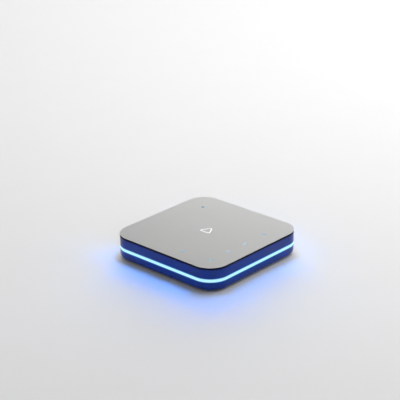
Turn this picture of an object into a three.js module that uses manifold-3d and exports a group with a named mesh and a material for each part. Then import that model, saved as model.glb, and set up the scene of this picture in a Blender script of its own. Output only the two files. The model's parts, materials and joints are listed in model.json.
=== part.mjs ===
// A streaming media player: a square, round-cornered box with an aluminium top plate, a light band
// round three sides, a row of sockets on the fourth, and the electronics inside.
//
// Millimetres, +Z up. The origin is the middle of the footprint, on the surface that the feet rest on.
// The front faces -Y and the sockets face +Y.
import * as THREE from 'three';
import { mergeVertices } from 'three/addons/utils/BufferGeometryUtils.js';
import Module from 'manifold-3d';

const wasm = await Module();
wasm.setup();

// ---------------------------------------------------------------- driving dimensions

const PLATE_SIDE = 110;
const PLATE_RADIUS = 16.8;
const PLATE_OVERHANG = 0.1;
const TOP = 20.7; // top face of the plate
const BASE = 1.0; // flat underside of the lower shell; the feet stand this proud of it

const BODY_HALF = PLATE_SIDE / 2 - PLATE_OVERHANG;
const BODY_RADIUS = PLATE_RADIUS - PLATE_OVERHANG;
const CORNER_CENTRE = BODY_HALF - BODY_RADIUS;

const BAND_BOTTOM = 8.25; // the light band lies between these two heights
const BAND_TOP = 11.3;
const WALL = 2;
const FLOOR_TOP = 2.6;
const CEILING = 18.6; // underside of the upper shell's top wall
const SHOULDER = 19.6; // where the upper shell steps in under the plate's edge
const SEAT = 19.9; // what the plate's adhesive lies on
const PLATE_UNDERSIDE = 20.1;
const GAP = 0.05; // between parts that touch

const RIB = [5, 6]; // insets of the rib that carries the LED strip
const RIB_TOP = 11;
const BOARD_TOP = 5.8;
const BOARD_THICKNESS = 1.15;
const BOARD_UNDERSIDE = BOARD_TOP - BOARD_THICKNESS;
const ON_BOARD = BOARD_TOP + GAP;

const SOCKET_FACE = 54.2; // where the sockets' mouths lie, along Y
const PANEL_FACE = 54.25;
const PANEL_HALF = CORNER_CENTRE - 0.3;
const PANEL_BOTTOM = 3.5;
const PANEL_TOP = 18.1;
const PANEL_CLEAR = 0.1; // between the panel and the shells, all round

const CASE_SCREWS = {
  front_left: [-44, -26],
  front_right: [44, -26],
  rear_left: [-44, 26],
  rear_right: [44, 26],
};
const BOARD_SCREWS = { left: [-30, -12], right: [28, 4] };
const FEET = {
  front_left: [-37, -37],
  front_right: [37, -37],
  rear_left: [-37, 37],
  rear_right: [37, 37],
};
const FRONT_LENSES = { 1: [-39.6, -40], 2: [-19.4, -40], 3: [0.2, -40], 4: [24.6, -40] };
const LEFT_LENS = [-41.8, -12.4];
const STATUS_LENS = [34, 35.3];
const LENS_RADIUS = 1.3;
const LENS_FLANGE = 2;

const POWER_INLET = { x: 29.2, z: 11.6 };
const HDMI_X = 14.6;
const ETHERNET_X = -3.6;
const USB_X = -20.8;
const BUTTON = { x: -32, z: 9.6, radius: 2.5 };
const RESET = [20, 26];

const SINK = { x: -3, y: -4, width: 40, depth: 34, bottom: 7.85, base: 1.75, top: 15.2 };
const SINK_PINS = { front: [SINK.x + 16.5, SINK.y - 13.5], rear: [SINK.x - 16.5, SINK.y + 13.5] };

const CORNER_STEPS = 8;
const SMALL_ROUND = 12; // facets on a cylinder of about 1 mm radius
const ROUND = 16; // and on a larger one
const LARGE_ROUND = 28; // and on one that shows, or is wide

// ---------------------------------------------------------------- materials

const finish = (color, roughness, metalness = 0) =>
  new THREE.MeshStandardMaterial({ color, roughness, metalness });

const ALUMINIUM = finish(0xc4c4c2, 0.45, 1);
const NAVY = finish(0x1d2c66, 0.22);
const GUIDE = new THREE.MeshStandardMaterial({ color: 0xbdfbff, roughness: 0.4, emissive: 0x8fe8ff });
const WHITE = finish(0xf2f2f2, 0.35);
const BLACK = finish(0x141519, 0.55);
const RUBBER = finish(0x17181a, 0.85);
const STEEL = finish(0x9b9c9f, 0.3, 1);
const TIN = finish(0xb9bbbd, 0.28, 1);
const GOLD = finish(0xd8b45a, 0.3, 1);
const BOARD_GREEN = finish(0x123a2b, 0.5);
const CHIP = finish(0x1b1c1e, 0.6);
const PAD = finish(0x9fb0bd, 0.9);
const SINK_FINISH = finish(0x2a2c30, 0.5, 1);
const NYLON = finish(0xd9d6cc, 0.5);
const CABLE = finish(0x202124, 0.5);
const FLEX = finish(0xe8e6dc, 0.5);
const TAPE = finish(0xd0cec8, 0.8);

// ---------------------------------------------------------------- solids

/** A closed three.js geometry as a manifold-3d solid. */
function solidOf(geometry) {
  const bare = geometry.index ? geometry.toNonIndexed() : geometry.clone();
  bare.deleteAttribute('normal');
  bare.deleteAttribute('uv');
  const merged = mergeVertices(bare, 1e-4);
  return new wasm.Manifold(new wasm.Mesh({
    numProp: 3,
    vertProperties: merged.attributes.position.array,
    triVerts: new Uint32Array(merged.index.array),
  }));
}

/** A manifold-3d solid as a three.js geometry with flat faces. */
function geometryOf(solid) {
  const { vertProperties, triVerts } = solid.getMesh();
  const shared = new THREE.BufferGeometry();
  shared.setAttribute('position', new THREE.BufferAttribute(vertProperties, 3));
  shared.setIndex(new THREE.BufferAttribute(triVerts, 1));
  const flat = shared.toNonIndexed();
  flat.computeVertexNormals();
  return flat;
}

const join = (first, ...rest) => rest.reduce((sum, next) => sum.add(next), first);
const cut = (first, ...rest) => rest.reduce((left, next) => left.subtract(next), first);

/** A box, centred on x and y, that stands on z. */
function block(width, depth, height, x = 0, y = 0, z = 0) {
  return solidOf(new THREE.BoxGeometry(width, depth, height).translate(x, y, z + height / 2));
}

/** An upright cylinder or cone that stands on z. */
function post(radius, height, x = 0, y = 0, z = 0, topRadius = radius, facets = ROUND) {
  const upright = new THREE.CylinderGeometry(topRadius, radius, height, facets).rotateX(Math.PI / 2);
  return solidOf(upright.translate(x, y, z + height / 2));
}

/** A cylinder along Y from y to y + length, about x and z. */
function barrel(radius, length, x = 0, y = 0, z = 0, facets = ROUND) {
  return solidOf(new THREE.CylinderGeometry(radius, radius, length, facets).translate(x, y + length / 2, z));
}

/** A flat outline, with any holes, as a slab from z to z + height. */
function slab(points, height, z = 0, holes = []) {
  const shape = new THREE.Shape(points.map(([x, y]) => new THREE.Vector2(x, y)));
  shape.holes = holes.map((hole) => new THREE.Path(hole.map(([x, y]) => new THREE.Vector2(x, y))));
  return solidOf(new THREE.ExtrudeGeometry(shape, { depth: height, bevelEnabled: false }).translate(0, 0, z));
}

/** An outline in x and z, drawn out along Y from y to y + length. */
function alongY(points, length, y = 0) {
  const shape = new THREE.Shape(points.map(([x, z]) => new THREE.Vector2(x, z)));
  const drawn = new THREE.ExtrudeGeometry(shape, { depth: length, bevelEnabled: false });
  return solidOf(drawn.rotateX(Math.PI / 2).translate(0, y + length, 0));
}

/** An outline in y and z, drawn out along X from x to x + length. */
function alongX(points, length, x = 0) {
  const shape = new THREE.Shape(points.map(([y, z]) => new THREE.Vector2(y, z)));
  const drawn = new THREE.ExtrudeGeometry(shape, { depth: length, bevelEnabled: false });
  const turned = new THREE.Matrix4().makeBasis(
    new THREE.Vector3(0, 1, 0), new THREE.Vector3(0, 0, 1), new THREE.Vector3(1, 0, 0));
  return solidOf(drawn.applyMatrix4(turned).translate(x, 0, 0));
}

/** A round wire along a curve, closed at both ends. */
function wire(curve, radius, steps, sides) {
  const section = new THREE.Shape();
  for (let i = 0; i < sides; i++) {
    const angle = (2 * Math.PI * i) / sides;
    const at = [radius * Math.cos(angle), radius * Math.sin(angle)];
    if (i === 0) section.moveTo(...at);
    else section.lineTo(...at);
  }
  return solidOf(new THREE.ExtrudeGeometry(section, { steps, extrudePath: curve, bevelEnabled: false }));
}

/** The four corner arcs of the round-cornered square, counter-clockwise from the rear right one. */
function cornerArc(corner, inset) {
  const signs = [[1, 1], [-1, 1], [-1, -1], [1, -1]][corner % 4];
  const radius = BODY_RADIUS - inset;
  return Array.from({ length: CORNER_STEPS + 1 }, (_, i) => {
    const angle = (Math.PI / 2) * (corner + i / CORNER_STEPS);
    return [
      signs[0] * CORNER_CENTRE + radius * Math.cos(angle),
      signs[1] * CORNER_CENTRE + radius * Math.sin(angle),
    ];
  });
}

/** The body's outline moved inwards by inset, as points in x and y. */
const outline = (inset) => [0, 1, 2, 3].flatMap((corner) => cornerArc(corner, inset));

/** A solid whose outline steps through [inset, z] levels, from the lowest to the highest. */
function stack(levels) {
  const rings = levels.map(([inset, z]) => outline(inset).map(([x, y]) => [x, y, z]));
  const count = rings[0].length;
  const faces = [];
  for (let level = 0; level + 1 < rings.length; level++) {
    for (let i = 0; i < count; i++) {
      const [a, b] = [level * count + i, level * count + ((i + 1) % count)];
      faces.push(a, b, b + count, a, b + count, a + count);
    }
  }
  const top = (rings.length - 1) * count;
  for (let i = 1; i + 1 < count; i++) faces.push(0, i + 1, i, top, top + i, top + i + 1);
  return solidFromLists(rings.flat(), faces);
}

/** A band round the left, front and right sides, whose section is [inset, z] points. The section starts at the
 *  foot of the outer face and runs up it. */
function sideBand(section) {
  const rows = section.map(([inset, z]) =>
    [1, 2, 3, 4].flatMap((corner) => cornerArc(corner, inset)).map(([x, y]) => [x, y, z]));
  const stations = rows[0].length;
  const at = (station, i) => (i % section.length) * stations + station;
  const faces = [];
  for (let s = 0; s + 1 < stations; s++) {
    for (let i = 0; i < section.length; i++) {
      faces.push(at(s, i + 1), at(s, i), at(s + 1, i), at(s, i + 1), at(s + 1, i), at(s + 1, i + 1));
    }
  }
  const contour = section.map(([inset, z]) => new THREE.Vector2(-inset, z));
  for (const [a, b, c] of THREE.ShapeUtils.triangulateShape(contour, [])) {
    faces.push(at(0, a), at(0, b), at(0, c), at(stations - 1, c), at(stations - 1, b), at(stations - 1, a));
  }
  return solidFromLists(rows.flat(), faces);
}

function solidFromLists(points, faces) {
  const geometry = new THREE.BufferGeometry();
  geometry.setAttribute('position', new THREE.Float32BufferAttribute(points.flat(), 3));
  geometry.setIndex(faces);
  return solidOf(geometry);
}

// ---------------------------------------------------------------- the scene graph

const player = new THREE.Group();

/** Adds a named part to the player, or to a group of it, at a place. */
function add(name, solid, material, [x, y, z] = [0, 0, 0], parent = player) {
  const mesh = new THREE.Mesh(geometryOf(solid), material);
  mesh.name = name;
  mesh.position.set(x, y, z);
  parent.add(mesh);
}

function group(x, y, z) {
  const made = new THREE.Group();
  made.position.set(x, y, z);
  player.add(made);
  return made;
}

// ---------------------------------------------------------------- casing

/** The outline of a rounded triangle that points to +X; a larger radius moves the whole outline outwards. */
function playOutline(radius) {
  const REACH = 4;
  const STEPS = 4;
  return [0, 1, 2].flatMap((corner) => {
    const middle = (corner * 2 * Math.PI) / 3;
    return Array.from({ length: STEPS + 1 }, (_, i) => {
      const angle = middle + ((i / STEPS - 0.5) * 2 * Math.PI) / 3;
      return [
        REACH * Math.cos(middle) + radius * Math.cos(angle),
        REACH * Math.sin(middle) + radius * Math.sin(angle),
      ];
    });
  });
}

const MARK_DEPTH = 0.45;
const MARK_RADII = [1.6, 0.6];

const playMark = () => slab(playOutline(MARK_RADII[0]), MARK_DEPTH - GAP, 0, [playOutline(MARK_RADII[1])]);

const lensPlaces = [...Object.values(FRONT_LENSES), LEFT_LENS, STATUS_LENS];
const lensHoles = (radius, z, height) => lensPlaces.map(([x, y]) => post(radius, height, x, y, z));

function topPlate() {
  const UNDERCUT = 0.25;
  const LIP = 0.2;
  const CHAMFER = 0.1;
  const edge = -PLATE_OVERHANG;
  const plate = stack([
    [edge + UNDERCUT, PLATE_UNDERSIDE],
    [edge, TOP - CHAMFER - LIP],
    [edge, TOP - CHAMFER],
    [edge + CHAMFER, TOP],
  ]);
  const [outer, inner] = MARK_RADII;
  const pocket = slab(playOutline(outer + GAP), 1, TOP - MARK_DEPTH, [playOutline(inner - GAP)]);
  return cut(plate, pocket, ...lensHoles(LENS_RADIUS + GAP, PLATE_UNDERSIDE - 1, 3));
}

function plateAdhesive() {
  const EDGE = 2.5;
  const CLEAR = 0.03;
  const sheet = stack([[EDGE, SEAT + CLEAR], [EDGE, PLATE_UNDERSIDE - CLEAR]]);
  return cut(sheet, ...lensHoles(LENS_FLANGE, SEAT - 1, 3));
}

const BOSS_RADIUS = 3.2;
const PILOT_RADIUS = 1.25;
const PILOT_TOP = 16.5;
const STAKES = [[-30, -41], [12, -41], [-42.3, -18.5]];
const STAKE_RADIUS = 0.8;
const STAKE_BOTTOM = 15.9;

function upperShell() {
  const LOWER_EDGE = 0.15;
  const UPPER_EDGE = 0.25;
  const STEP = 0.9;
  const outside = stack([
    [LOWER_EDGE, BAND_TOP + GAP],
    [0, BAND_TOP + GAP + LOWER_EDGE],
    [0, SHOULDER - UPPER_EDGE],
    [UPPER_EDGE, SHOULDER],
    [STEP, SHOULDER],
    [STEP, SEAT],
  ]);
  const hollow = stack([[WALL, BAND_TOP - 1], [WALL, CEILING]]);
  const panelGap = block(2 * (PANEL_HALF + PANEL_CLEAR), 6, PANEL_TOP + PANEL_CLEAR, 0, BODY_HALF, 0);
  const bosses = Object.values(CASE_SCREWS).map(([x, y]) =>
    post(BOSS_RADIUS, CEILING - ON_BOARD, x, y, ON_BOARD));
  const pilots = Object.values(CASE_SCREWS).map(([x, y]) => post(PILOT_RADIUS, PILOT_TOP, x, y, 0));
  const stakes = STAKES.map(([x, y]) => post(STAKE_RADIUS, CEILING - STAKE_BOTTOM, x, y, STAKE_BOTTOM));
  const shell = join(cut(outside, hollow, panelGap), ...bosses, ...stakes);
  return cut(shell, ...pilots, ...lensHoles(LENS_RADIUS + GAP, CEILING - 1, 4));
}

/** T-shaped: the lit face outside, and two thin lips that hook behind the shells' walls. */
function lightGuide() {
  const DEPTH = 3;
  const LIP = [2.1, 2.85];
  const LIP_HEIGHT = 1;
  return sideBand([
    [0, BAND_BOTTOM],
    [0, BAND_TOP],
    [LIP[0], BAND_TOP],
    [LIP[0], BAND_TOP + LIP_HEIGHT],
    [LIP[1], BAND_TOP + LIP_HEIGHT],
    [DEPTH, BAND_TOP],
    [DEPTH, BAND_BOTTOM],
    [LIP[1], BAND_BOTTOM - LIP_HEIGHT],
    [LIP[0], BAND_BOTTOM - LIP_HEIGHT],
    [LIP[0], BAND_BOTTOM],
  ]);
}

/** Places spread evenly along the left, front and right sides, each as [x, y, angle of the outward normal]. */
function placesRoundSides(count, inset) {
  const path = [1, 2, 3, 4].flatMap((corner) => cornerArc(corner, inset));
  const curve = new THREE.CurvePath();
  path.slice(1).forEach((to, i) =>
    curve.add(new THREE.LineCurve(new THREE.Vector2(...path[i]), new THREE.Vector2(...to))));
  return Array.from({ length: count }, (_, i) => {
    const t = (i + 0.5) / count;
    const along = curve.getTangentAt(t);
    const at = curve.getPointAt(t);
    return [at.x, at.y, Math.atan2(-along.x, along.y)];
  });
}

function ledStrip() {
  const LED = { count: 30, long: 3, deep: 1, tall: 1.6 };
  const TAPE_INSETS = [4.4, 4.7];
  const middle = (BAND_BOTTOM + BAND_TOP) / 2;
  const TAPE_HALF = 1.2;
  const SUNK = 0.1;
  const tape = sideBand([
    [TAPE_INSETS[0], middle - TAPE_HALF],
    [TAPE_INSETS[0], middle + TAPE_HALF],
    [TAPE_INSETS[1], middle + TAPE_HALF],
    [TAPE_INSETS[1], middle - TAPE_HALF],
  ]);
  const leds = placesRoundSides(LED.count, TAPE_INSETS[0] - LED.deep / 2 + SUNK).map(([x, y, angle]) => {
    const led = new THREE.BoxGeometry(LED.deep, LED.long, LED.tall).rotateZ(angle);
    return solidOf(led.translate(x, y, middle));
  });
  return join(tape, ...leds);
}

const FOOT = { radius: 6, recess: 0.5, top: 1.45 };

function foot() {
  const EDGE = 0.3;
  return join(
    post(FOOT.radius - EDGE, EDGE, 0, 0, 0, FOOT.radius, LARGE_ROUND),
    post(FOOT.radius, FOOT.top - EDGE, 0, 0, EDGE, FOOT.radius, LARGE_ROUND));
}

/** A slot with round ends, along Y, cut through the floor. */
function ventSlot(x, y, length, width) {
  const HEIGHT = 4;
  const half = length / 2 - width / 2;
  return join(
    block(width, 2 * half, HEIGHT, x, y, 0),
    post(width / 2, HEIGHT, x, y - half, 0, width / 2, SMALL_ROUND),
    post(width / 2, HEIGHT, x, y + half, 0, width / 2, SMALL_ROUND));
}

const SCREW = { head: 2.4, headHeight: 1.6, shank: 1.2, seat: 3 };

function lowerShell() {
  const ROUNDING = 3;
  const STEPS = 5;
  const curve = Array.from({ length: STEPS + 1 }, (_, i) => {
    const angle = (Math.PI / 2) * (i / STEPS);
    return [ROUNDING * (1 - Math.sin(angle)), BASE + ROUNDING * (1 - Math.cos(angle))];
  });
  const UPPER_EDGE = 0.15;
  const outside = stack([...curve, [0, BAND_BOTTOM - GAP - UPPER_EDGE], [UPPER_EDGE, BAND_BOTTOM - GAP]]);
  const hollow = stack([[WALL, FLOOR_TOP], [WALL, BAND_TOP]]);
  const panelGap = block(2 * (PANEL_HALF + PANEL_CLEAR), 6, 10, 0, BODY_HALF, PANEL_BOTTOM - PANEL_CLEAR);
  const ribFoot = FLOOR_TOP - 0.5;
  const rib = sideBand([[RIB[0], ribFoot], [RIB[0], RIB_TOP], [RIB[1], RIB_TOP], [RIB[1], ribFoot]]);
  const postFoot = BASE + 0.5;
  const postHeight = BOARD_UNDERSIDE - GAP - postFoot;
  const screwPosts = Object.values(CASE_SCREWS).map(([x, y]) => post(3.4, postHeight, x, y, postFoot));
  const boardPosts = Object.values(BOARD_SCREWS).map(([x, y]) => post(2.6, postHeight, x, y, postFoot));
  const shell = join(cut(outside, hollow, panelGap), rib, ...screwPosts, ...boardPosts);

  const screwHoles = Object.values(CASE_SCREWS).flatMap(([x, y]) => [
    post(SCREW.shank + 0.15, 10, x, y, 0),
    post(SCREW.head + 0.3, SCREW.seat, x, y, 0),
  ]);
  const boardPilots = Object.values(BOARD_SCREWS).map(([x, y]) => post(0.95, 10, x, y, 1.9));
  const recessRadius = FOOT.radius + 0.15;
  const footRecesses = Object.values(FEET).map(([x, y]) =>
    post(recessRadius, BASE + FOOT.recess, x, y, 0, recessRadius, LARGE_ROUND));
  const VENTS = { count: 11, pitch: 3.4, length: 24, width: 1.6 };
  const vents = Array.from({ length: VENTS.count }, (_, i) =>
    ventSlot(SINK.x + (i - (VENTS.count - 1) / 2) * VENTS.pitch, SINK.y, VENTS.length, VENTS.width));
  const pinhole = post(1, 5, ...RESET, 0, 1, SMALL_ROUND);
  return cut(shell, ...screwHoles, ...boardPilots, ...footRecesses, ...vents, pinhole);
}

/** A screw standing on its head, with a cross recess. The head's flat side is at z = 0. */
function screw(headRadius, headHeight, shankRadius, length) {
  const head = join(
    post(headRadius * 0.8, headHeight * 0.35, 0, 0, 0, headRadius),
    post(headRadius, headHeight * 0.65, 0, 0, headHeight * 0.35));
  const shank = join(
    post(shankRadius, length - 0.8, 0, 0, headHeight - 0.01),
    post(shankRadius, 0.8, 0, 0, headHeight - 0.01 + length - 0.8, shankRadius * 0.5));
  const recess = headHeight * 0.55;
  return cut(
    join(head, shank),
    block(headRadius * 1.1, headRadius * 0.26, recess + 1, 0, 0, -1),
    block(headRadius * 0.26, headRadius * 1.1, recess + 1, 0, 0, -1));
}

function caseScrew() {
  const LENGTH = 12.5;
  return screw(SCREW.head, SCREW.headHeight, SCREW.shank, LENGTH);
}

/** The same screw turned over, so that its head is on top; its seat is at z = 0. */
function boardScrew() {
  const HEAD_HEIGHT = 1.3;
  const LENGTH = 3.7;
  return screw(2.1, HEAD_HEIGHT, 0.9, LENGTH).rotate([180, 0, 0]).translate([0, 0, HEAD_HEIGHT]);
}

// ---------------------------------------------------------------- rear panel and sockets

const hdmiOutline = (margin) => [
  [-7.5 - margin, 5.6 + margin],
  [-7.5 - margin, 2.1 - margin / 2],
  [-5.8 - margin / 2, -margin],
  [5.8 + margin / 2, -margin],
  [7.5 + margin, 2.1 - margin / 2],
  [7.5 + margin, 5.6 + margin],
];

const HDMI = { bottom: BOARD_TOP + 0.3, depth: 11.7, wall: 0.4 };
const USB = { width: 13.2, height: 5.8, depth: 13.7, bottom: BOARD_TOP + 0.15, wall: 0.4 };
const ETHERNET = { width: 16, height: 11.75, depth: 16.7 };
const INLET = { width: 9, depth: 13.5, bore: 3.2, pin: 1, top: 16.4 };

function rearPanel() {
  const FLANGE = { back: 51.2, front: BODY_HALF - WALL - 0.25, bottom: 2.75, top: 18.5 };
  const face = block(2 * PANEL_HALF, PANEL_FACE - FLANGE.front, PANEL_TOP - PANEL_BOTTOM,
    0, (PANEL_FACE + FLANGE.front) / 2, PANEL_BOTTOM);
  const flange = block(2 * PANEL_HALF, FLANGE.front - FLANGE.back, FLANGE.top - FLANGE.bottom,
    0, (FLANGE.front + FLANGE.back) / 2, FLANGE.bottom);
  const CLEAR = 0.15;
  const through = { y: 50, length: 6 };
  const hdmi = alongY(hdmiOutline(CLEAR), through.length, through.y).translate([HDMI_X, 0, HDMI.bottom]);
  const ethernet = block(ETHERNET.width + 2 * CLEAR, through.length, ETHERNET.height + 2 * CLEAR,
    ETHERNET_X, through.y + 3, ON_BOARD - CLEAR);
  const usb = block(USB.width + 2 * CLEAR, through.length, USB.height + 2 * CLEAR,
    USB_X, through.y + 3, USB.bottom - CLEAR);
  const inlet = block(INLET.width + 2 * CLEAR, through.length, INLET.top - ON_BOARD + 2 * CLEAR,
    POWER_INLET.x, through.y + 3, ON_BOARD - CLEAR);
  const button = barrel(BUTTON.radius + CLEAR, through.length, BUTTON.x, through.y, BUTTON.z, LARGE_ROUND);
  return cut(join(face, flange), hdmi, ethernet, usb, inlet, button);
}

/** The sockets below are modelled with their mouths at y = 0 and their depths along -Y, and stand on z = 0. */
function hdmiShell() {
  const outer = alongY(hdmiOutline(0), HDMI.depth, -HDMI.depth);
  const inner = alongY(hdmiOutline(-HDMI.wall), HDMI.depth, -HDMI.depth + 0.5);
  return cut(outer, inner);
}

function hdmiTongue() {
  const carrier = alongY(hdmiOutline(-HDMI.wall - GAP), 3.5, -HDMI.depth + 0.6);
  const tongue = block(11.4, 7, 1.2, 0, -5, 2.9);
  return join(carrier, tongue);
}

function usbShell() {
  const { width, height, depth, wall } = USB;
  const outer = block(width, depth, height, 0, -depth / 2);
  const inner = block(width - 2 * wall, depth, height - 2 * wall, 0, -depth / 2 + wall, wall);
  const latch = (side) => block(1.6, 2.6, 2, side * 3, -7, height - wall - 0.5);
  return cut(outer, inner, latch(-1), latch(1));
}

function usbTongue() {
  const { width, height, depth, wall } = USB;
  const free = wall + GAP;
  const carrier = block(width - 2 * free, 4, height - 2 * free, 0, -depth + free + 2, free);
  const tongue = block(11.1, 9.2, 1.9, 0, -5.2, height - wall - 2.5);
  return join(carrier, tongue);
}

function ethernetBody() {
  const { width, height, depth } = ETHERNET;
  const CAVITY = { width: 11.8, depth: 12.4, bottom: 2.2, height: 6.9 };
  const body = block(width, depth, height, 0, -depth / 2);
  const cavity = block(CAVITY.width, CAVITY.depth + 1, CAVITY.height, 0, 0.5 - CAVITY.depth / 2, CAVITY.bottom);
  const latch = block(6.4, 9, 1.5, 0, 0.5 - 4, CAVITY.bottom - 0.8);
  const catchSlot = block(3.2, 9, 1.5, 0, 0.5 - 4, CAVITY.bottom - 1.5);
  const ROOM = { width: 9.4, depth: CAVITY.depth - 0.6, height: 1.8, front: -1.2 };
  const contactRoom = block(ROOM.width, ROOM.depth, ROOM.height,
    0, ROOM.front - ROOM.depth / 2, CAVITY.bottom + CAVITY.height - 0.1);
  return cut(body, cavity, latch, catchSlot, contactRoom);
}

/** Eight springy wires on one carrier, sloping down into the socket's mouth. */
function ethernetContacts() {
  const PITCH = 1.02;
  const carrier = block(8.8, 1.2, 1.4, 0, -12.3, 9.3);
  const finger = [[-12.4, 10.2], [-12.4, 9.8], [-4.6, 8.3], [-2.4, 9.5], [-2.4, 9.9], [-4.6, 8.7]];
  const fingers = Array.from({ length: 8 }, (_, i) => alongX(finger, 0.45, (i - 3.5) * PITCH - 0.225));
  return join(carrier, ...fingers);
}

function powerInletBody() {
  const { width, depth, bore, pin, top } = INLET;
  const BORE_DEPTH = 10.5;
  const centre = POWER_INLET.z - ON_BOARD;
  const body = block(width, depth, top - ON_BOARD, 0, -depth / 2);
  return cut(body,
    barrel(bore, BORE_DEPTH + 1, 0, -BORE_DEPTH, centre, LARGE_ROUND),
    barrel(pin + GAP, 4, 0, -BORE_DEPTH - 2, centre, SMALL_ROUND));
}

function powerInletPin() {
  const centre = POWER_INLET.z - ON_BOARD;
  const TIP = -1.2;
  const LENGTH = 11;
  return join(
    barrel(INLET.pin, LENGTH, 0, TIP - LENGTH, centre, SMALL_ROUND),
    barrel(0.7, 0.4, 0, TIP, centre, SMALL_ROUND));
}

/** The cap that shows through the panel, its flange, and the stem that presses the switch. */
function powerButton() {
  const FACE = 54.9 - SOCKET_FACE;
  const EDGE = 0.25;
  const FLANGE = { front: 51 - SOCKET_FACE, depth: 0.8, radius: BUTTON.radius + 0.8 };
  const STEM = { side: 2.2, length: 4.4 };
  return join(
    barrel(BUTTON.radius, FACE - FLANGE.front - EDGE, 0, FLANGE.front, 0, LARGE_ROUND),
    barrel(BUTTON.radius - EDGE, EDGE, 0, FACE - EDGE, 0, LARGE_ROUND),
    barrel(FLANGE.radius, FLANGE.depth, 0, FLANGE.front - FLANGE.depth, 0, LARGE_ROUND),
    block(STEM.side, STEM.length, STEM.side, 0, FLANGE.front - FLANGE.depth - STEM.length / 2, -STEM.side / 2));
}

function powerSwitch() {
  const FRONT = 46.9 - SOCKET_FACE;
  const DEPTH = 4.4;
  const WELL = { side: 2.5, depth: 2 };
  const body = block(6, DEPTH, BUTTON.z + 2.6 - ON_BOARD, 0, FRONT - DEPTH / 2);
  const well = block(WELL.side, WELL.depth, WELL.side,
    0, FRONT - WELL.depth / 2 + 0.02, BUTTON.z - ON_BOARD - WELL.side / 2);
  return cut(body, well);
}

// ---------------------------------------------------------------- boards and what is on them

function mainBoard() {
  const EDGE = 6.6;
  const sheet = stack([[EDGE, BOARD_UNDERSIDE], [EDGE, BOARD_TOP]]);
  const rearTab = block(70, 12, BOARD_THICKNESS, 0, 45, BOARD_UNDERSIDE);
  const hole = (radius) => ([x, y]) => post(radius, 4, x, y, BOARD_UNDERSIDE - 1);
  const holes = [
    ...Object.values(CASE_SCREWS).map(hole(1.45)),
    ...Object.values(BOARD_SCREWS).map(hole(1.1)),
    ...Object.values(SINK_PINS).map(hole(1.4)),
  ];
  return cut(join(sheet, rearTab), ...holes);
}

function indicatorBoard() {
  const UNDERSIDE = 16.4;
  const THICKNESS = 0.9;
  const arm = [[-46.3, -7], [-46.3, -38.5], [-39.6, -45.2], [29, -45.2], [29, -37], [-37.5, -37], [-37.5, -7]];
  const board = slab(arm, THICKNESS, UNDERSIDE);
  const leds = [...Object.values(FRONT_LENSES), LEFT_LENS].map(([x, y]) =>
    block(2, 1.4, 0.65, x, y, UNDERSIDE + THICKNESS - 0.05));
  const socket = block(8, 3, 1.4, -8, -39, UNDERSIDE - 1.35);
  const stakeHoles = STAKES.map(([x, y]) => post(STAKE_RADIUS + 0.1, 3, x, y, UNDERSIDE - 1));
  const bossHole = post(BOSS_RADIUS + 0.3, 3, ...CASE_SCREWS.front_left, UNDERSIDE - 1);
  return cut(join(board, ...leds, socket), ...stakeHoles, bossHole);
}

/** A flat ribbon 6 mm wide that hangs from the indicator board's socket to the main board. */
function indicatorRibbon() {
  const THICKNESS = 0.3;
  const run = new THREE.CubicBezierCurve(
    new THREE.Vector2(-39, 14.9), new THREE.Vector2(-39, 8),
    new THREE.Vector2(-33, 12), new THREE.Vector2(-33, ON_BOARD));
  const STEPS = 10;
  const sides = [1, -1].map((side) => Array.from({ length: STEPS + 1 }, (_, i) => {
    const at = run.getPoint(i / STEPS);
    const along = run.getTangent(i / STEPS);
    return [at.x - along.y * side * THICKNESS / 2, at.y + along.x * side * THICKNESS / 2];
  }));
  return alongX([...sides[0], ...sides[1].reverse()], 6, -11);
}

/** A lens with a flange under the top wall, flush with the top plate. Its top is at z = 0. */
function indicatorLens() {
  const FLANGE_HEIGHT = 0.55;
  const bottom = CEILING - GAP - FLANGE_HEIGHT - TOP;
  return join(
    post(LENS_RADIUS, -bottom, 0, 0, bottom),
    post(LENS_FLANGE, FLANGE_HEIGHT, 0, 0, bottom));
}

/** The long light pipe of the status light, which starts just above its LED on the main board. */
function statusLightPipe() {
  const bottom = ON_BOARD + 1.1 - TOP;
  return join(
    indicatorLens(),
    post(1.5, CEILING - 0.3 - TOP - bottom, 0, 0, bottom));
}

function heatSink() {
  const FINS = 11;
  const FIN = 1.1;
  const { width, depth, base, bottom, top } = SINK;
  const plate = block(width, depth, base);
  const pitch = (width - FIN) / (FINS - 1);
  const fins = Array.from({ length: FINS }, (_, i) =>
    block(FIN, depth, top - bottom, (i - (FINS - 1) / 2) * pitch, 0));
  const pinRoom = Object.values(SINK_PINS).flatMap(([x, y]) => [
    block(8, 8, top, x - SINK.x, y - SINK.y, base),
    post(1.4, 10, x - SINK.x, y - SINK.y, -1, 1.4, 14),
  ]);
  return cut(join(plate, ...fins), ...pinRoom);
}

const PIN_HEAD = 12.2;

/** A split nylon pin, with its barb below the board and its head above the spring. */
function heatSinkPin() {
  const BARB = 3.3;
  return join(
    post(1.15, PIN_HEAD - BARB, 0, 0, BARB, 1.15, 14),
    post(0.8, 1.2, 0, 0, BARB, 1.8, 14),
    post(2.6, 1, 0, 0, PIN_HEAD, 2.2, 18));
}

class Helix extends THREE.Curve {
  constructor(radius, turns, bottom, top) {
    super();
    Object.assign(this, { radius, turns, bottom, top });
  }

  getPoint(t, target = new THREE.Vector3()) {
    const angle = 2 * Math.PI * this.turns * t;
    return target.set(
      this.radius * Math.cos(angle),
      this.radius * Math.sin(angle),
      this.bottom + (this.top - this.bottom) * t);
  }
}

function heatSinkSpring() {
  const WIRE = 0.22;
  const TURNS = 3;
  const bottom = SINK.bottom + SINK.base + WIRE + GAP;
  return wire(new Helix(1.9, TURNS, bottom, PIN_HEAD - WIRE - GAP), WIRE, TURNS * 9, 5);
}

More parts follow.
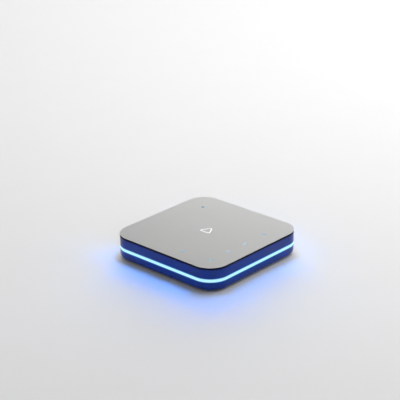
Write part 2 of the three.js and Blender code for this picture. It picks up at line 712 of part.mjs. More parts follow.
/** A three-legged infrared receiver that looks out to the front, above the light band. */
function irReceiver() {
  const legs = [-2.5, 0, 2.5].map((x) => block(0.5, 0.5, 5, x, 0.6));
  const body = block(6, 2.8, 5.8, 0, 0, 4.3);
  const dome = solidOf(new THREE.SphereGeometry(2.1, 12, 8).scale(1, 0.6, 1).translate(0, -1.4, 7.5));
  return join(body, dome, ...legs);
}

function wifiShield() {
  const EDGE = 0.3;
  return join(
    block(10.6, 12, 1.4),
    block(10.6 - 2 * EDGE, 12 - 2 * EDGE, 1.7));
}

/** An electrolytic capacitor: a can on a square foot. */
function capacitor() {
  return join(block(6.6, 6.6, 1), post(3.1, 6.6, 0, 0, 0.9, 3.1, 20), post(3.1, 0.3, 0, 0, 7.5, 2.8, 20));
}

/** The transformer beside the network socket: a block on two rows of legs. */
function ethernetTransformer() {
  const legs = Array.from({ length: 8 }, (_, i) =>
    block(0.5, 11, 0.8, (i - 3.5) * 1.6, 0));
  return join(block(15, 8.6, 4.6, 0, 0, 0.5), ...legs);
}

/** A chip with a shallow step round its edge. */
function chip(width, depth, height) {
  return join(block(width, depth, height * 0.45), block(width * 0.88, depth * 0.88, height));
}

// ---------------------------------------------------------------- putting it together

function addCasing() {
  add('top_plate', topPlate(), ALUMINIUM);
  add('play_mark', playMark(), WHITE, [0, 0, TOP - MARK_DEPTH + GAP]);
  add('plate_adhesive', plateAdhesive(), TAPE);
  add('upper_shell', upperShell(), NAVY);
  add('light_guide', lightGuide(), GUIDE);
  add('led_strip', ledStrip(), FLEX);
  add('lower_shell', lowerShell(), NAVY);
  add('rear_panel', rearPanel(), BLACK);
  for (const [place, [x, y]] of Object.entries(FEET)) add(`foot_${place}`, foot(), RUBBER, [x, y, 0]);
  for (const [place, [x, y]] of Object.entries(CASE_SCREWS)) {
    add(`case_screw_${place}`, caseScrew(), STEEL, [x, y, SCREW.seat - SCREW.headHeight - GAP]);
  }
}

function addSockets() {
  const inlet = group(POWER_INLET.x, SOCKET_FACE, ON_BOARD);
  add('power_inlet_body', powerInletBody(), BLACK, [0, 0, 0], inlet);
  add('power_inlet_pin', powerInletPin(), STEEL, [0, 0, 0], inlet);

  const hdmi = group(HDMI_X, SOCKET_FACE, HDMI.bottom);
  add('hdmi_shell', hdmiShell(), TIN, [0, 0, 0], hdmi);
  add('hdmi_tongue', hdmiTongue(), BLACK, [0, 0, 0], hdmi);

  const ethernet = group(ETHERNET_X, SOCKET_FACE, ON_BOARD);
  add('ethernet_body', ethernetBody(), TIN, [0, 0, 0], ethernet);
  add('ethernet_contacts', ethernetContacts(), GOLD, [0, 0, 0], ethernet);

  const usb = group(USB_X, SOCKET_FACE, USB.bottom);
  add('usb_shell', usbShell(), TIN, [0, 0, 0], usb);
  add('usb_tongue', usbTongue(), BLACK, [0, 0, 0], usb);

  add('power_button', powerButton(), BLACK, [BUTTON.x, SOCKET_FACE, BUTTON.z]);
  add('power_switch', powerSwitch(), CHIP, [BUTTON.x, SOCKET_FACE, ON_BOARD]);
}

function addMainBoard() {
  add('main_board', mainBoard(), BOARD_GREEN);
  for (const [place, [x, y]] of Object.entries(BOARD_SCREWS)) {
    add(`board_screw_${place}`, boardScrew(), STEEL, [x, y, ON_BOARD]);
  }
  const onBoard = group(0, 0, ON_BOARD);
  add('processor', chip(15, 15, 1.15), CHIP, [SINK.x, SINK.y, 0], onBoard);
  add('thermal_pad', block(13, 13, 0.7), PAD, [SINK.x, SINK.y, 1.2], onBoard);
  add('memory_chip_1', chip(9, 12, 1), CHIP, [SINK.x + 14, SINK.y + 7, 0], onBoard);
  add('memory_chip_2', chip(9, 12, 1), CHIP, [SINK.x + 14, SINK.y - 6, 0], onBoard);
  add('storage_chip', chip(11.5, 13, 1), CHIP, [-29, 8, 0], onBoard);
  add('power_chip', chip(7, 7, 0.9), CHIP, [31, 22, 0], onBoard);
  add('ethernet_transformer', ethernetTransformer(), CHIP, [ETHERNET_X, 29.5, 0], onBoard);
  add('capacitor', capacitor(), TIN, [14, 33, 0], onBoard);
  add('wifi_board', block(12, 15, 0.8), BOARD_GREEN, [34, -12, 0], onBoard);
  add('wifi_shield', wifiShield(), TIN, [34, -12.8, 0.8 + GAP], onBoard);
  add('ir_receiver', irReceiver(), CHIP, [11, -45.3, 0], onBoard);
  add('status_led', block(2.8, 2.8, 0.9), WHITE, [...STATUS_LENS, 0], onBoard);
}

function addResetSwitch() {
  const BODY = 1.35;
  const body = cut(block(4, 4, BODY), post(0.9, 0.85, 0, 0, 0));
  add('reset_switch', body, CHIP, [...RESET, BOARD_UNDERSIDE - BODY - GAP]);
  const plunger = post(0.75, 0.95, 0, 0, 0);
  add('reset_plunger', plunger, WHITE, [...RESET, 2.85]);
}

function addCooling() {
  add('heat_sink', heatSink(), SINK_FINISH, [SINK.x, SINK.y, SINK.bottom]);
  for (const [place, [x, y]] of Object.entries(SINK_PINS)) {
    add(`heat_sink_pin_${place}`, heatSinkPin(), NYLON, [x, y, 0]);
    add(`heat_sink_spring_${place}`, heatSinkSpring(), STEEL, [x, y, 0]);
  }
}

function addAntennas() {
  const LEAD_RADIUS = 0.55;
  const FILM = 0.5;
  const antenna = block(FILM, 30, 5.2);
  const place = BODY_HALF - WALL - 0.2 - FILM / 2;
  const end = place - FILM / 2 - LEAD_RADIUS - 0.2;
  const routes = {
    left: [
      [28.4, -20, 8.2], [22, -25, 9], [8, -27.5, 8.6], [-8, -28, 8.4], [-26, -29, 8.6], [-40, -32.5, 9.6],
      [-46.4, -32, 11.4], [-49.2, -27, 12.6], [-end + 0.2, -19, 13.8], [-end, -12, 15],
    ],
    right: [[40.4, -20, 8.2], [43.4, -18.5, 9.4], [46.4, -15, 11.6], [49, -10, 12.8], [end, -6, 15]],
  };
  for (const [side, sign] of [['left', -1], ['right', 1]]) {
    add(`antenna_${side}`, antenna, FLEX, [sign * place, 1, 12.8]);
    const curve = new THREE.CatmullRomCurve3(routes[side].map((p) => new THREE.Vector3(...p)));
    add(`antenna_lead_${side}`, wire(curve, LEAD_RADIUS, 3 * routes[side].length, 8), CABLE);
  }
}

function addIndicators() {
  for (const [number, [x, y]] of Object.entries(FRONT_LENSES)) {
    add(`indicator_lens_${number}`, indicatorLens(), GUIDE, [x, y, TOP]);
  }
  add('indicator_lens_5', indicatorLens(), GUIDE, [...LEFT_LENS, TOP]);
  add('status_light_pipe', statusLightPipe(), GUIDE, [...STATUS_LENS, TOP]);
  add('indicator_board', indicatorBoard(), BOARD_GREEN);
  add('indicator_ribbon', indicatorRibbon(), FLEX);
}

addCasing();
addSockets();
addMainBoard();
addResetSwitch();
addCooling();
addAntennas();
addIndicators();

export default player;
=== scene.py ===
"""Looks for a streaming media player: fine meshes, materials, light and camera around the CAD model."""
import json
import math

import bmesh
import bpy
from mathutils import Matrix, Vector


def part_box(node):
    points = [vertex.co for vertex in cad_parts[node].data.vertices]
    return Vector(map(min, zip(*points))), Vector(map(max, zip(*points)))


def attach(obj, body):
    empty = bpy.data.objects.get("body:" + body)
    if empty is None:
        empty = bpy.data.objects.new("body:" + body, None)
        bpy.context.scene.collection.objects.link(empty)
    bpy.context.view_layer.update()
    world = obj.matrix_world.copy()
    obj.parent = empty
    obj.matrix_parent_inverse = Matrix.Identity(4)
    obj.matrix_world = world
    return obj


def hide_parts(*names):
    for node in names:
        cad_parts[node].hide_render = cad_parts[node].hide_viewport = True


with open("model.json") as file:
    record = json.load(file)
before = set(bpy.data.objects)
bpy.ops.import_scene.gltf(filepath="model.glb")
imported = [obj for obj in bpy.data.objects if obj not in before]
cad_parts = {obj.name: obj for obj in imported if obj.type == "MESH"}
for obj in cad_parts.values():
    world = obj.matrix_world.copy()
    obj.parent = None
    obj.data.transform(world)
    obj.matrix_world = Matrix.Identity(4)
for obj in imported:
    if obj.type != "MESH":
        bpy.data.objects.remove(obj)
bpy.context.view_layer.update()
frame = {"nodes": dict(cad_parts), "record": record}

MM = 0.001
HOUSING, BUTTON, PLUNGER = "housing", "power_button", "reset_plunger"

# ---- sizes, in millimetres, from the frame


def low(node):
    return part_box(node)[0] / MM


def high(node):
    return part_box(node)[1] / MM


def middle(node):
    return (low(node) + high(node)) / 2


def plan(node):
    """Where a node's middle lies, seen from above."""
    return tuple(middle(node).xy)


PLATE_RADIUS = 16.8
BODY_HALF = high("upper_shell").x
OVERHANG = high("top_plate").x - BODY_HALF
BODY_RADIUS = PLATE_RADIUS - OVERHANG
CORNER_CENTRE = BODY_HALF - BODY_RADIUS
TOP = high("top_plate").z
PLATE_UNDERSIDE = low("top_plate").z
SEAT = high("upper_shell").z
BASE = low("lower_shell").z
FLOOR_TOP = BASE + 1.6
CEILING = high("rear_panel").z + 0.1
SHOULDER = SEAT - 0.3
GUIDE_LIP = 1.0
BAND_BOTTOM = low("light_guide").z + GUIDE_LIP
BAND_TOP = high("light_guide").z - GUIDE_LIP
WALL = 2.0
GAP = 0.05
PANEL_FACE = high("rear_panel").y
PANEL_HALF = high("rear_panel").x
PANEL_BOTTOM, PANEL_TOP = 3.5, 18.1  # of its face
BOARD_UNDERSIDE = low("main_board").z
ON_BOARD = high("main_board").z + GAP
LENSES = [f"indicator_lens_{i}" for i in range(1, 6)]
STATUS_PIPE = "status_light_pipe"
LENS_RADIUS = 1.3
LENS_FLANGE = 2.0
MARK_RADII = (1.6, 0.6)  # of the corners of its outline, outside and inside
MARK_DEPTH = TOP - low("play_mark").z + GAP
BUTTON_RADIUS = 2.5
BUTTON_FLANGE = 51.0  # its front, along Y
CASE_SCREWS = [n for n in frame["nodes"] if n.startswith("case_screw")]
BOARD_SCREWS = [n for n in frame["nodes"] if n.startswith("board_screw")]
FEET = [n for n in frame["nodes"] if n.startswith("foot_")]

ARC = 20  # facets in a quarter circle of the body's outline


def placed(name, data):
    """A new object in the scene that holds this mesh, light or camera."""
    made = bpy.data.objects.new(name, data)
    bpy.context.scene.collection.objects.link(made)
    return made


# ---- camera


def camera():
    """The photograph's view: its lens, direction, roll and framing, worked out from the plate's outline."""
    azimuth, elevation, roll = (math.radians(a) for a in (-47.2742, 22.7895, -0.669))
    distance = 1.07615
    aside = Vector((0.005668, -0.024738))  # how far right and up of the axis the plate's middle lies
    back = Vector((
        math.sin(azimuth) * math.cos(elevation),
        -math.cos(azimuth) * math.cos(elevation),
        math.sin(elevation),
    ))
    level = Vector((math.cos(azimuth), math.sin(azimuth), 0))
    upright = back.cross(level)
    right = level * math.cos(roll) + upright * math.sin(roll)
    up = upright * math.cos(roll) - level * math.sin(roll)
    data = bpy.data.cameras.new("camera")
    data.lens = 119.34
    data.sensor_width = 36
    data.clip_start = 0.01
    data.clip_end = 20
    made = placed("camera", data)
    place = Vector((0, 0, TOP * MM)) + back * distance - right * aside.x - up * aside.y
    turn = Matrix((right, up, back)).transposed().to_4x4()
    made.matrix_world = Matrix.Translation(place) @ turn
    bpy.context.scene.camera = made


# ---- materials


def add_node(tree, kind, inputs, **attributes):
    """A node with these attributes, and with its inputs set to values or linked to other nodes' outputs."""
    node = tree.nodes.new(kind)
    for name, value in attributes.items():
        setattr(node, name, value)
    for name, value in inputs.items():
        if isinstance(value, bpy.types.NodeSocket):
            tree.links.new(value, node.inputs[name])
        else:
            node.inputs[name].default_value = value
    return node


def arithmetic(tree, operation, first, second=0.0):
    """A Math node over two numbers, each a value or another node's output."""
    return add_node(tree, "ShaderNodeMath", {0: first, 1: second}, operation=operation).outputs["Value"]


COLOUR_A, COLOUR_B, MIXED_COLOUR = 6, 7, 2  # a Mix node has sockets of one name for each type of data


class Nodes:
    """A material's node tree, with short ways to add the textures that the finishes below share."""

    def __init__(self, name):
        self.material = bpy.data.materials.new(name)
        self.material.use_nodes = True
        self.tree = self.material.node_tree
        self.shader = self.tree.nodes["Principled BSDF"]
        self.place = self.add("ShaderNodeTexCoord", {}).outputs["Object"]

    def add(self, kind, inputs, **attributes):
        return add_node(self.tree, kind, inputs, **attributes)

    def link(self, output, name):
        self.tree.links.new(output, self.shader.inputs[name])

    def stretched(self, scale):
        """Coordinates whose texture is stretched by these factors along X, Y and Z."""
        mapping = self.add("ShaderNodeMapping", {"Scale": [1 / s for s in scale], "Vector": self.place})
        return mapping.outputs["Vector"]

    def noise(self, size, detail=3.0, place=None):
        """Noise whose blotches are about size millimetres across."""
        inputs = {"Scale": 1 / (size * MM), "Detail": detail, "Vector": place or self.place}
        return self.add("ShaderNodeTexNoise", inputs).outputs["Fac"]

    def cells(self, size):
        inputs = {"Scale": 1 / (size * MM), "Vector": self.place}
        return self.add("ShaderNodeTexVoronoi", inputs).outputs["Distance"]

    def ranged(self, value, low_out, high_out, low_in=0.3, high_in=0.7):
        return self.add("ShaderNodeMapRange", {
            "Value": value, "From Min": low_in, "From Max": high_in, "To Min": low_out, "To Max": high_out,
        }).outputs["Result"]

    def mixed(self, factor, first, second):
        """A mix of two colours, each a value or another node's output."""
        colours = [c if isinstance(c, bpy.types.NodeSocket) else (*c, 1) for c in (first, second)]
        inputs = {"Factor": factor, COLOUR_A: colours[0], COLOUR_B: colours[1]}
        return self.add("ShaderNodeMix", inputs, data_type="RGBA").outputs[MIXED_COLOUR]

    def beyond_band(self):
        """How far above or below the light band's middle a point lies, in metres."""
        split = self.add("ShaderNodeSeparateXYZ", {"Vector": self.place})
        offset = arithmetic(self.tree, "SUBTRACT", split.outputs["Z"], (BAND_BOTTOM + BAND_TOP) / 2 * MM)
        return arithmetic(self.tree, "ABSOLUTE", offset)

    def near(self, centres, inner, outer):
        """One within inner millimetres of any centre, and nothing beyond outer."""
        factor = 0.0
        for centre in centres:
            apart = self.add("ShaderNodeVectorMath", {0: self.place, 1: centre * MM}, operation="DISTANCE")
            fade = self.ranged(apart.outputs["Value"], 1, 0, inner * MM, outer * MM)
            factor = arithmetic(self.tree, "MAXIMUM", fade, factor)
        return factor

    def colour(self, value):
        self.link(value, "Base Color")

    def mottle(self, colour, size, amount, place=None):
        """The colour, a little lighter and darker in blotches."""
        shades = [tuple(c * (1 + sign * amount) for c in colour) for sign in (-1, 1)]
        return self.mixed(self.ranged(self.noise(size, place=place), 0, 1), *shades)

    def roughness(self, mean, spread, size, place=None):
        self.link(self.ranged(self.noise(size, place=place), mean - spread, mean + spread), "Roughness")

    def bump(self, *layers):
        """Layers of (height output, height in millimetres), one over the other."""
        below = {}
        for height, depth in layers:
            node = self.add("ShaderNodeBump", {"Distance": depth * MM, "Height": height, **below})
            below = {"Normal": node.outputs["Normal"]}
        self.link(below["Normal"], "Normal")

    def set(self, **sockets):
        for name, value in sockets.items():
            self.shader.inputs[name.replace("_", " ").title().replace("Ior", "IOR")].default_value = value
        return self


def anodised_aluminium():
    made = Nodes("anodised_aluminium").set(metallic=1.0)
    blotches = made.mottle((0.76, 0.758, 0.75), 18, 0.012)
    grain = made.ranged(made.noise(0.22, 2), 0.0, 1.0)
    satin = made.mixed(grain, (0.70, 0.698, 0.69), blotches)
    lens_tops = [Vector((*plan(node), TOP)) for node in LENSES]
    # Painted light: the plate's colour is tinted pale blue round each lens, standing in for the light that
    # the lit lenses throw on it.
    painted_lens_glow = arithmetic(made.tree, "MULTIPLY", made.near(lens_tops, LENS_RADIUS, LENS_RADIUS + 1.8), 0.6)
    made.colour(made.mixed(painted_lens_glow, satin, (0.5, 0.72, 0.88)))
    made.roughness(0.33, 0.03, 0.6)
    made.bump((made.noise(0.2, 2), 0.006), (made.noise(0.6, 2), 0.004))
    return made.material


def plain(name, colour, roughness, bumps, **sockets):
    """A finish from a mottled colour (colour, size, amount), a roughness (middle, spread, size) and bumps."""
    made = Nodes(name).set(**sockets)
    made.colour(made.mottle(*colour))
    made.roughness(*roughness)
    made.bump(*[(made.noise(size, detail), depth) for size, detail, depth in bumps])
    return made.material


def dark_edge():
    """The plate's edge and the line under it, painted dark: a painted shadow of the gap under the plate."""
    return plain(
        "dark_edge", ((0.007, 0.011, 0.035), 2, 0.1), (0.5, 0.05, 0.8), [(0.3, 2, 0.002)],
        ior=1.45, specular_ior_level=0.08)


def navy_polycarbonate():
    """Glossy navy plastic, painted lighter and bluer beside the light band: a painted glow that stands in for
    the band's light.
    """
    made = Nodes("navy_polycarbonate").set(ior=1.5, specular_ior_level=0.3)
    half_band = (BAND_TOP - BAND_BOTTOM) / 2
    painted_band_glow = made.ranged(made.beyond_band(), 1, 0, half_band * MM, (half_band + 1.4) * MM)
    made.colour(made.mixed(painted_band_glow, made.mottle((0.004, 0.036, 0.28), 9, 0.07), (0.0, 0.07, 0.42)))
    made.roughness(0.2, 0.05, 3.0)
    made.bump((made.noise(3.2, 1), 0.006), (made.noise(0.5, 2), 0.0006))
    return made.material


def navy_inside():
    return plain("navy_inside", ((0.009, 0.02, 0.12), 5, 0.1), (0.5, 0.08, 1.5), [(0.25, 2, 0.012)], ior=1.5)


def frosted_guide():
    """The light guide, lit from behind: cyan-white, and dimmer and bluer towards its two long edges."""
    made = Nodes("frosted_guide").set(ior=1.58, emission_strength=1.0)
    half_band = (BAND_TOP - BAND_BOTTOM) / 2
    middle_part = made.ranged(made.beyond_band(), 1, 0, (half_band - 0.6) * MM, half_band * MM)
    glow = made.mixed(middle_part, (0.0, 0.1, 0.32), (0.47, 0.88, 1.03))
    made.link(glow, "Emission Color")
    made.colour(made.mottle((0.03, 0.08, 0.1), 2.5, 0.03))
    made.roughness(0.42, 0.06, 0.7)
    made.bump((made.noise(0.3, 2), 0.008))
    return made.material


def lens(name, colour, glow, strength):
    return plain(
        name, (colour, 0.8, 0.06), (0.22, 0.05, 0.5), [(0.4, 2, 0.004)], ior=1.58, coat_weight=0.4,
        coat_roughness=0.08, emission_color=(*glow, 1.0), emission_strength=strength)


def moulded(name, colour, grain, depth, rough, mottle):
    """A moulded plastic with a spark-eroded skin."""
    made = Nodes(name).set(ior=1.5)
    made.colour(made.mottle(colour, 1.6, mottle))
    made.roughness(rough, 0.07, 0.9)
    made.bump((made.noise(grain, 3), depth), (made.cells(grain * 1.7), depth * 0.5))
    return made.material


def rubber():
    return plain(
        "rubber", ((0.022, 0.022, 0.023), 1.2, 0.25), (0.82, 0.06, 1.0), [(0.35, 3, 0.02), (2.5, 1, 0.02)],
        ior=1.45, sheen_weight=0.15, sheen_roughness=0.5)


def metal(name, colour, rough, spread, streak, size, depth, mottle):
    """A metal whose grain may be drawn out along an axis."""
    made = Nodes(name).set(metallic=1.0)
    drawn = made.stretched(streak)
    made.colour(made.mottle(colour, size, mottle, drawn))
    made.roughness(rough, spread, size * 1.3, drawn)
    made.bump((made.noise(size, place=drawn), depth))
    return made.material


def circuit_board():
    """Green solder mask over copper: tracks show as lighter lines, and vias as small rings."""
    made = Nodes("circuit_board").set(ior=1.5, coat_weight=0.35, coat_roughness=0.15)
    tracks = made.add("ShaderNodeTexBrick", {
        "Vector": made.place, "Scale": 1 / (2.6 * MM), "Mortar Size": 0.035, "Brick Width": 2.3,
        "Row Height": 0.32,
    }, offset=0.37, squash=0.6, squash_frequency=3)
    mask = made.mixed(tracks.outputs["Fac"], (0.012, 0.075, 0.045), (0.03, 0.16, 0.085))
    vias = made.ranged(made.cells(3.1), 1, 0, 0.10, 0.13)
    made.colour(made.mixed(vias, mask, (0.45, 0.33, 0.12)))
    made.roughness(0.42, 0.05, 1.0)
    made.bump((tracks.outputs["Fac"], 0.02), (made.noise(0.3, 2), 0.004))
    return made.material


PLASTICS = {  # colour, the grain's size and depth in millimetres, roughness, mottling
    "adhesive_film": ((0.6, 0.58, 0.54), 0.6, 0.01, 0.7, 0.05),
    "black_plastic": ((0.016, 0.016, 0.018), 0.18, 0.02, 0.55, 0.12),
    "chip_black": ((0.02, 0.02, 0.022), 0.12, 0.01, 0.62, 0.1),
    "thermal_pad": ((0.36, 0.45, 0.54), 0.5, 0.03, 0.85, 0.1),
    "nylon": ((0.72, 0.7, 0.63), 0.4, 0.008, 0.45, 0.05),
    "white_flex": ((0.8, 0.78, 0.72), 0.8, 0.006, 0.5, 0.05),
    "cable": ((0.02, 0.02, 0.022), 0.3, 0.006, 0.4, 0.1),
    "symbol_ink": ((0.62, 0.63, 0.65), 0.3, 0.002, 0.5, 0.03),
}
METALS = {  # colour, roughness and its spread, the grain's stretch, size and depth, mottling
    "screw_steel": ((0.48, 0.48, 0.49), 0.3, 0.07, (1, 1, 1), 0.4, 0.003, 0.06),
    "tin_plate": ((0.66, 0.67, 0.68), 0.27, 0.07, (1, 6, 1), 0.3, 0.003, 0.06),
    "gold_contact": ((0.86, 0.62, 0.26), 0.24, 0.07, (1, 5, 1), 0.2, 0.003, 0.06),
    "heat_sink": ((0.05, 0.05, 0.055), 0.5, 0.06, (1, 8, 1), 0.25, 0.006, 0.1),
}
CLEAR_PLASTICS = {  # colour, glow and its strength
    # The white enamel's glow is painted light on the play mark, which is an inlay and no lamp.
    "white_enamel": ((0.94, 0.94, 0.94), (1, 1, 1), 0.28),
    "indicator_lens": ((0.34, 0.5, 0.62), (0.45, 0.72, 1.0), 0.08),
    "status_lens": ((0.07, 0.26, 0.42), (0.1, 0.5, 1.0), 0.09),
    "green_window": ((0.08, 0.32, 0.12), (0.1, 0.6, 0.2), 0.0),
    "amber_window": ((0.5, 0.24, 0.04), (0.8, 0.4, 0.1), 0.0),
}


def make_materials():
    """One material for each slot in the record, and the finishes that only the fine meshes use."""
    made = {
        "aluminium_plate": anodised_aluminium(),
        "dark_edge": dark_edge(),
        "navy_plastic": navy_polycarbonate(),
        "navy_inside": navy_inside(),
        "light_guide": frosted_guide(),
        "rubber": rubber(),
        "circuit_board": circuit_board(),
    }
    for finish, looks in ((moulded, PLASTICS), (metal, METALS), (lens, CLEAR_PLASTICS)):
        made.update({name: finish(name, *look) for name, look in looks.items()})
    return made


# ---- mesh building, in millimetres


def arc_points(centre, radius, start, turn, steps):
    """Points on a circle, from one angle on through a turn, with both ends."""
    angles = [start + turn * i / steps for i in range(steps + 1)]
    return [(centre[0] + radius * math.cos(a), centre[1] + radius * math.sin(a)) for a in angles]


def circle(radius, steps, centre=(0, 0)):
    return arc_points(centre, radius, 0, 2 * math.pi, steps)[:-1]


def rounded(width, height, radius, steps, centre=(0, 0)):
    """A rectangle with round corners, in two dimensions, counter-clockwise from its upper right corner."""
    points = []
    for corner, (sx, sy) in enumerate(((1, 1), (-1, 1), (-1, -1), (1, -1))):
        pivot = (centre[0] + sx * (width / 2 - radius), centre[1] + sy * (height / 2 - radius))
        points += arc_points(pivot, radius, math.pi / 2 * corner, math.pi / 2, steps)
    return points


def outline(inset, arc=ARC):
    """The body's round-cornered square, moved inwards by inset, from the rear right corner."""
    side = 2 * (BODY_HALF - inset)
    return rounded(side, side, BODY_RADIUS - inset, arc)


def near_outline(point, depth):
    """Whether a point lies within depth of the body's outline, or outside it, seen from above."""
    past_corner_centre = [max(abs(c) - CORNER_CENTRE, 0) for c in point.xy]
    return math.hypot(*past_corner_centre) > BODY_RADIUS - depth


def filleted(corners, radius):
    """A convex polygon whose corners are rounded with the same radius."""
    steps = 5
    points = []
    for i, corner in enumerate(corners):
        here = Vector(corner)
        before = (Vector(corners[i - 1]) - here).normalized()
        after = (Vector(corners[(i + 1) % len(corners)]) - here).normalized()
        half = before.angle(after) / 2
        centre = here + (before + after).normalized() * (radius / math.sin(half))
        start = here + before * (radius / math.tan(half)) - centre
        finish = here + after * (radius / math.tan(half)) - centre
        turn = -start.angle_signed(finish)
        for k in range(steps + 1):
            angle = turn * k / steps
            points.append((
                centre.x + start.x * math.cos(angle) - start.y * math.sin(angle),
                centre.y + start.x * math.sin(angle) + start.y * math.cos(angle)))
    return points


def round_top(z, soft, steps=4, inset=0):
    """(inset, z) points up round the upper edge of a solid whose top is at z."""
    return [(inset + soft - x, z - soft + y) for x, y in arc_points((0, 0), soft, 0, math.pi / 2, steps)]


def round_foot(z, soft, steps=4):
    """(inset, z) points up round the lower edge of a solid whose underside is at z."""
    return [(soft - y, z + soft - x) for x, y in arc_points((0, 0), soft, 0, math.pi / 2, steps)]


def from_bmesh(work, mesh):
    """An object that holds the mesh, filled from a BMesh that is no longer needed."""
    work.to_mesh(mesh)
    work.free()
    return placed(mesh.name, mesh)


def make(name, points, faces):
    """A mesh object from points in millimetres, with its faces turned outwards."""
    mesh = bpy.data.meshes.new(name)
    mesh.from_pydata([Vector(p) * MM for p in points], [], faces)
    work = bmesh.new()
    work.from_mesh(mesh)
    bmesh.ops.remove_doubles(work, verts=work.verts, dist=1e-7)
    bmesh.ops.recalc_face_normals(work, faces=work.faces)
    return from_bmesh(work, mesh)


def quads(rows, count, first=0):
    """Faces between neighbouring rows of points, each row a loop of count points."""
    return [
        (here + i, here + (i + 1) % count, here + count + (i + 1) % count, here + count + i)
        for here in range(first, first + (rows - 1) * count, count)
        for i in range(count)
    ]


def loft(name, rings, ends=True):
    """A solid through rings of points, all of one length, with flat ends or closed on itself."""
    count = len(rings[0])
    points = [p for ring in rings for p in ring]
    faces = quads(len(rings), count)
    if ends:
        faces += [tuple(range(count)), tuple(range(len(points) - count, len(points)))]
    return make(name, points, faces)


def flat_ring(points, z):
    return [(x, y, z) for x, y in points]


def deep_ring(points, y):
    """A ring drawn in x and z that stands at depth y."""
    return [(x, y, z) for x, z in points]


def body_stack(name, levels, arc=ARC):
    """A solid whose outline is the body's, through (inset, z) levels."""
    return loft(name, [flat_ring(outline(inset, arc), z) for inset, z in levels])


def lathe(name, profile, centre=(0, 0), steps=48):
    """A turned solid about an upright axis, from (radius, z) points. The first and last are on the axis."""
    (_, bottom), *inner, (_, top) = profile
    points = [(*centre, bottom)]
    points += [(x, y, z) for radius, z in inner for x, y in circle(radius, steps, centre)]
    points.append((*centre, top))
    last = len(points) - 1
    upper_ring = last - steps
    faces = [(0, 1 + (i + 1) % steps, 1 + i) for i in range(steps)]
    faces += quads(len(inner), steps, first=1)
    faces += [(upper_ring + i, upper_ring + (i + 1) % steps, last) for i in range(steps)]
    return make(name, points, faces)


def lathe_along_y(name, profile, place, steps=48):
    """A turned solid whose axis lies along +Y, from (radius, y) points."""
    made = lathe(name, profile, steps=steps)
    turn = Matrix.Rotation(math.radians(-90), 4, "X")
    made.data.transform(Matrix.Translation(Vector(place) * MM) @ turn)
    return made


def rounded_box(name, size, centre, radius=0.2, segments=3):
    """A box with rounded edges."""
    work = bmesh.new()
    bmesh.ops.create_cube(work, size=1.0)
    bmesh.ops.scale(work, vec=Vector(size) * MM, verts=work.verts)
    bmesh.ops.translate(work, vec=Vector(centre) * MM, verts=work.verts)
    bmesh.ops.bevel(
        work, geom=list(work.edges), offset=radius * MM, segments=segments, profile=0.5, affect="EDGES")
    return from_bmesh(work, bpy.data.meshes.new(name))


def band(name, section):
    """A strip round the left, front and right sides, whose section is (inset, z) points."""
    rows = []
    for inset, z in section:
        ring = outline(inset)
        rows.append(flat_ring(ring[ARC + 1:] + ring[:ARC + 1], z))
    return loft(name, list(zip(*rows)))


def tube(name, points, radius):
    """A round wire through points, with flat ends."""
    points = [Vector(p) for p in points]
    rings = []
    normal = Vector((0, 0, 1))
    for i, here in enumerate(points):
        along = (points[min(i + 1, len(points) - 1)] - points[max(i - 1, 0)]).normalized()
        if abs(along.dot(normal)) > 0.95:
            normal = Vector((1, 0, 0))
        side = along.cross(normal).normalized()
        normal = side.cross(along).normalized()
        rings.append([here + side * x + normal * y for x, y in circle(radius, 10)])
    return loft(name, rings)


def remove(*objects):
    for obj in objects:
        mesh = obj.data
        bpy.data.objects.remove(obj)
        bpy.data.meshes.remove(mesh)


def combine(obj, operation, others):
    """Cuts the other solids from obj, or joins them to it, and removes them."""
    for other in others:
        step = obj.modifiers.new("step", "BOOLEAN")
        step.operation = operation
        step.solver = "EXACT"
        step.object = other
    bpy.context.view_layer.update()
    whole = obj.evaluated_get(bpy.context.evaluated_depsgraph_get())
    mesh = bpy.data.meshes.new_from_object(whole)
    obj.modifiers.clear()
    old = obj.data
    obj.data = mesh
    mesh.name = obj.name
    bpy.data.meshes.remove(old)
    remove(*others)
    return obj


def cut(obj, *others):
    return combine(obj, "DIFFERENCE", others)


def join(obj, *others):
    return combine(obj, "UNION", others)


def gathered(name, objects):
    """Several separate solids as one object."""
    work = bmesh.new()
    for obj in objects:
        work.from_mesh(obj.data)
    remove(*objects)
    return from_bmesh(work, bpy.data.meshes.new(name))


def finish_piece(obj, slot, nodes=(), body=HOUSING, finish=None):
    """Shades a piece, gives it its material, and ties it to the frame."""
    obj.data.polygons.foreach_set("use_smooth", [True] * len(obj.data.polygons))
    obj.data.set_sharp_from_angle(angle=math.radians(32))
    weighted = obj.modifiers.new("weighted_normals", "WEIGHTED_NORMAL")
    weighted.keep_sharp = True
    weighted.weight = 100
    if not obj.data.materials:
        obj.data.materials.append(MATERIALS[finish or slot])
    if nodes:
        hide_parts(*nodes)
    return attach(obj, body)


def paint_faces(obj, finishes, choose):
    """Gives each face one of several finishes; choose says which, counting from 0, from the face's centre."""
    for name in finishes:
        obj.data.materials.append(MATERIALS[name])
    for face in obj.data.polygons:
        face.material_index = int(choose(face.center / MM))


# ---- casing


def play_outline(radius):
    """A rounded triangle that points to +X."""
    reach, third, steps = 4.0, 2 * math.pi / 3, 10
    points = []
    for heading in (0, third, 2 * third):
        pivot = (reach * math.cos(heading), reach * math.sin(heading))
        points += arc_points(pivot, radius, heading - third / 2, third, steps)
    return points


def stepped_hole(node, steps):
    """A turned cutter at a node, through (radius, z) points from below."""
    return lathe("hole", [(0, steps[0][1]), *steps, (0, steps[-1][1])], plan(node), 40)


def lens_hole(node):
    """A cutter for a lens's hole in the plate, with a slightly broken edge."""
    radius, chamfer = LENS_RADIUS + GAP, 0.08
    mouth = radius + chamfer
    return stepped_hole(node, [
        (radius, PLATE_UNDERSIDE - 1), (radius, TOP - chamfer), (mouth, TOP), (mouth, TOP + 1)])


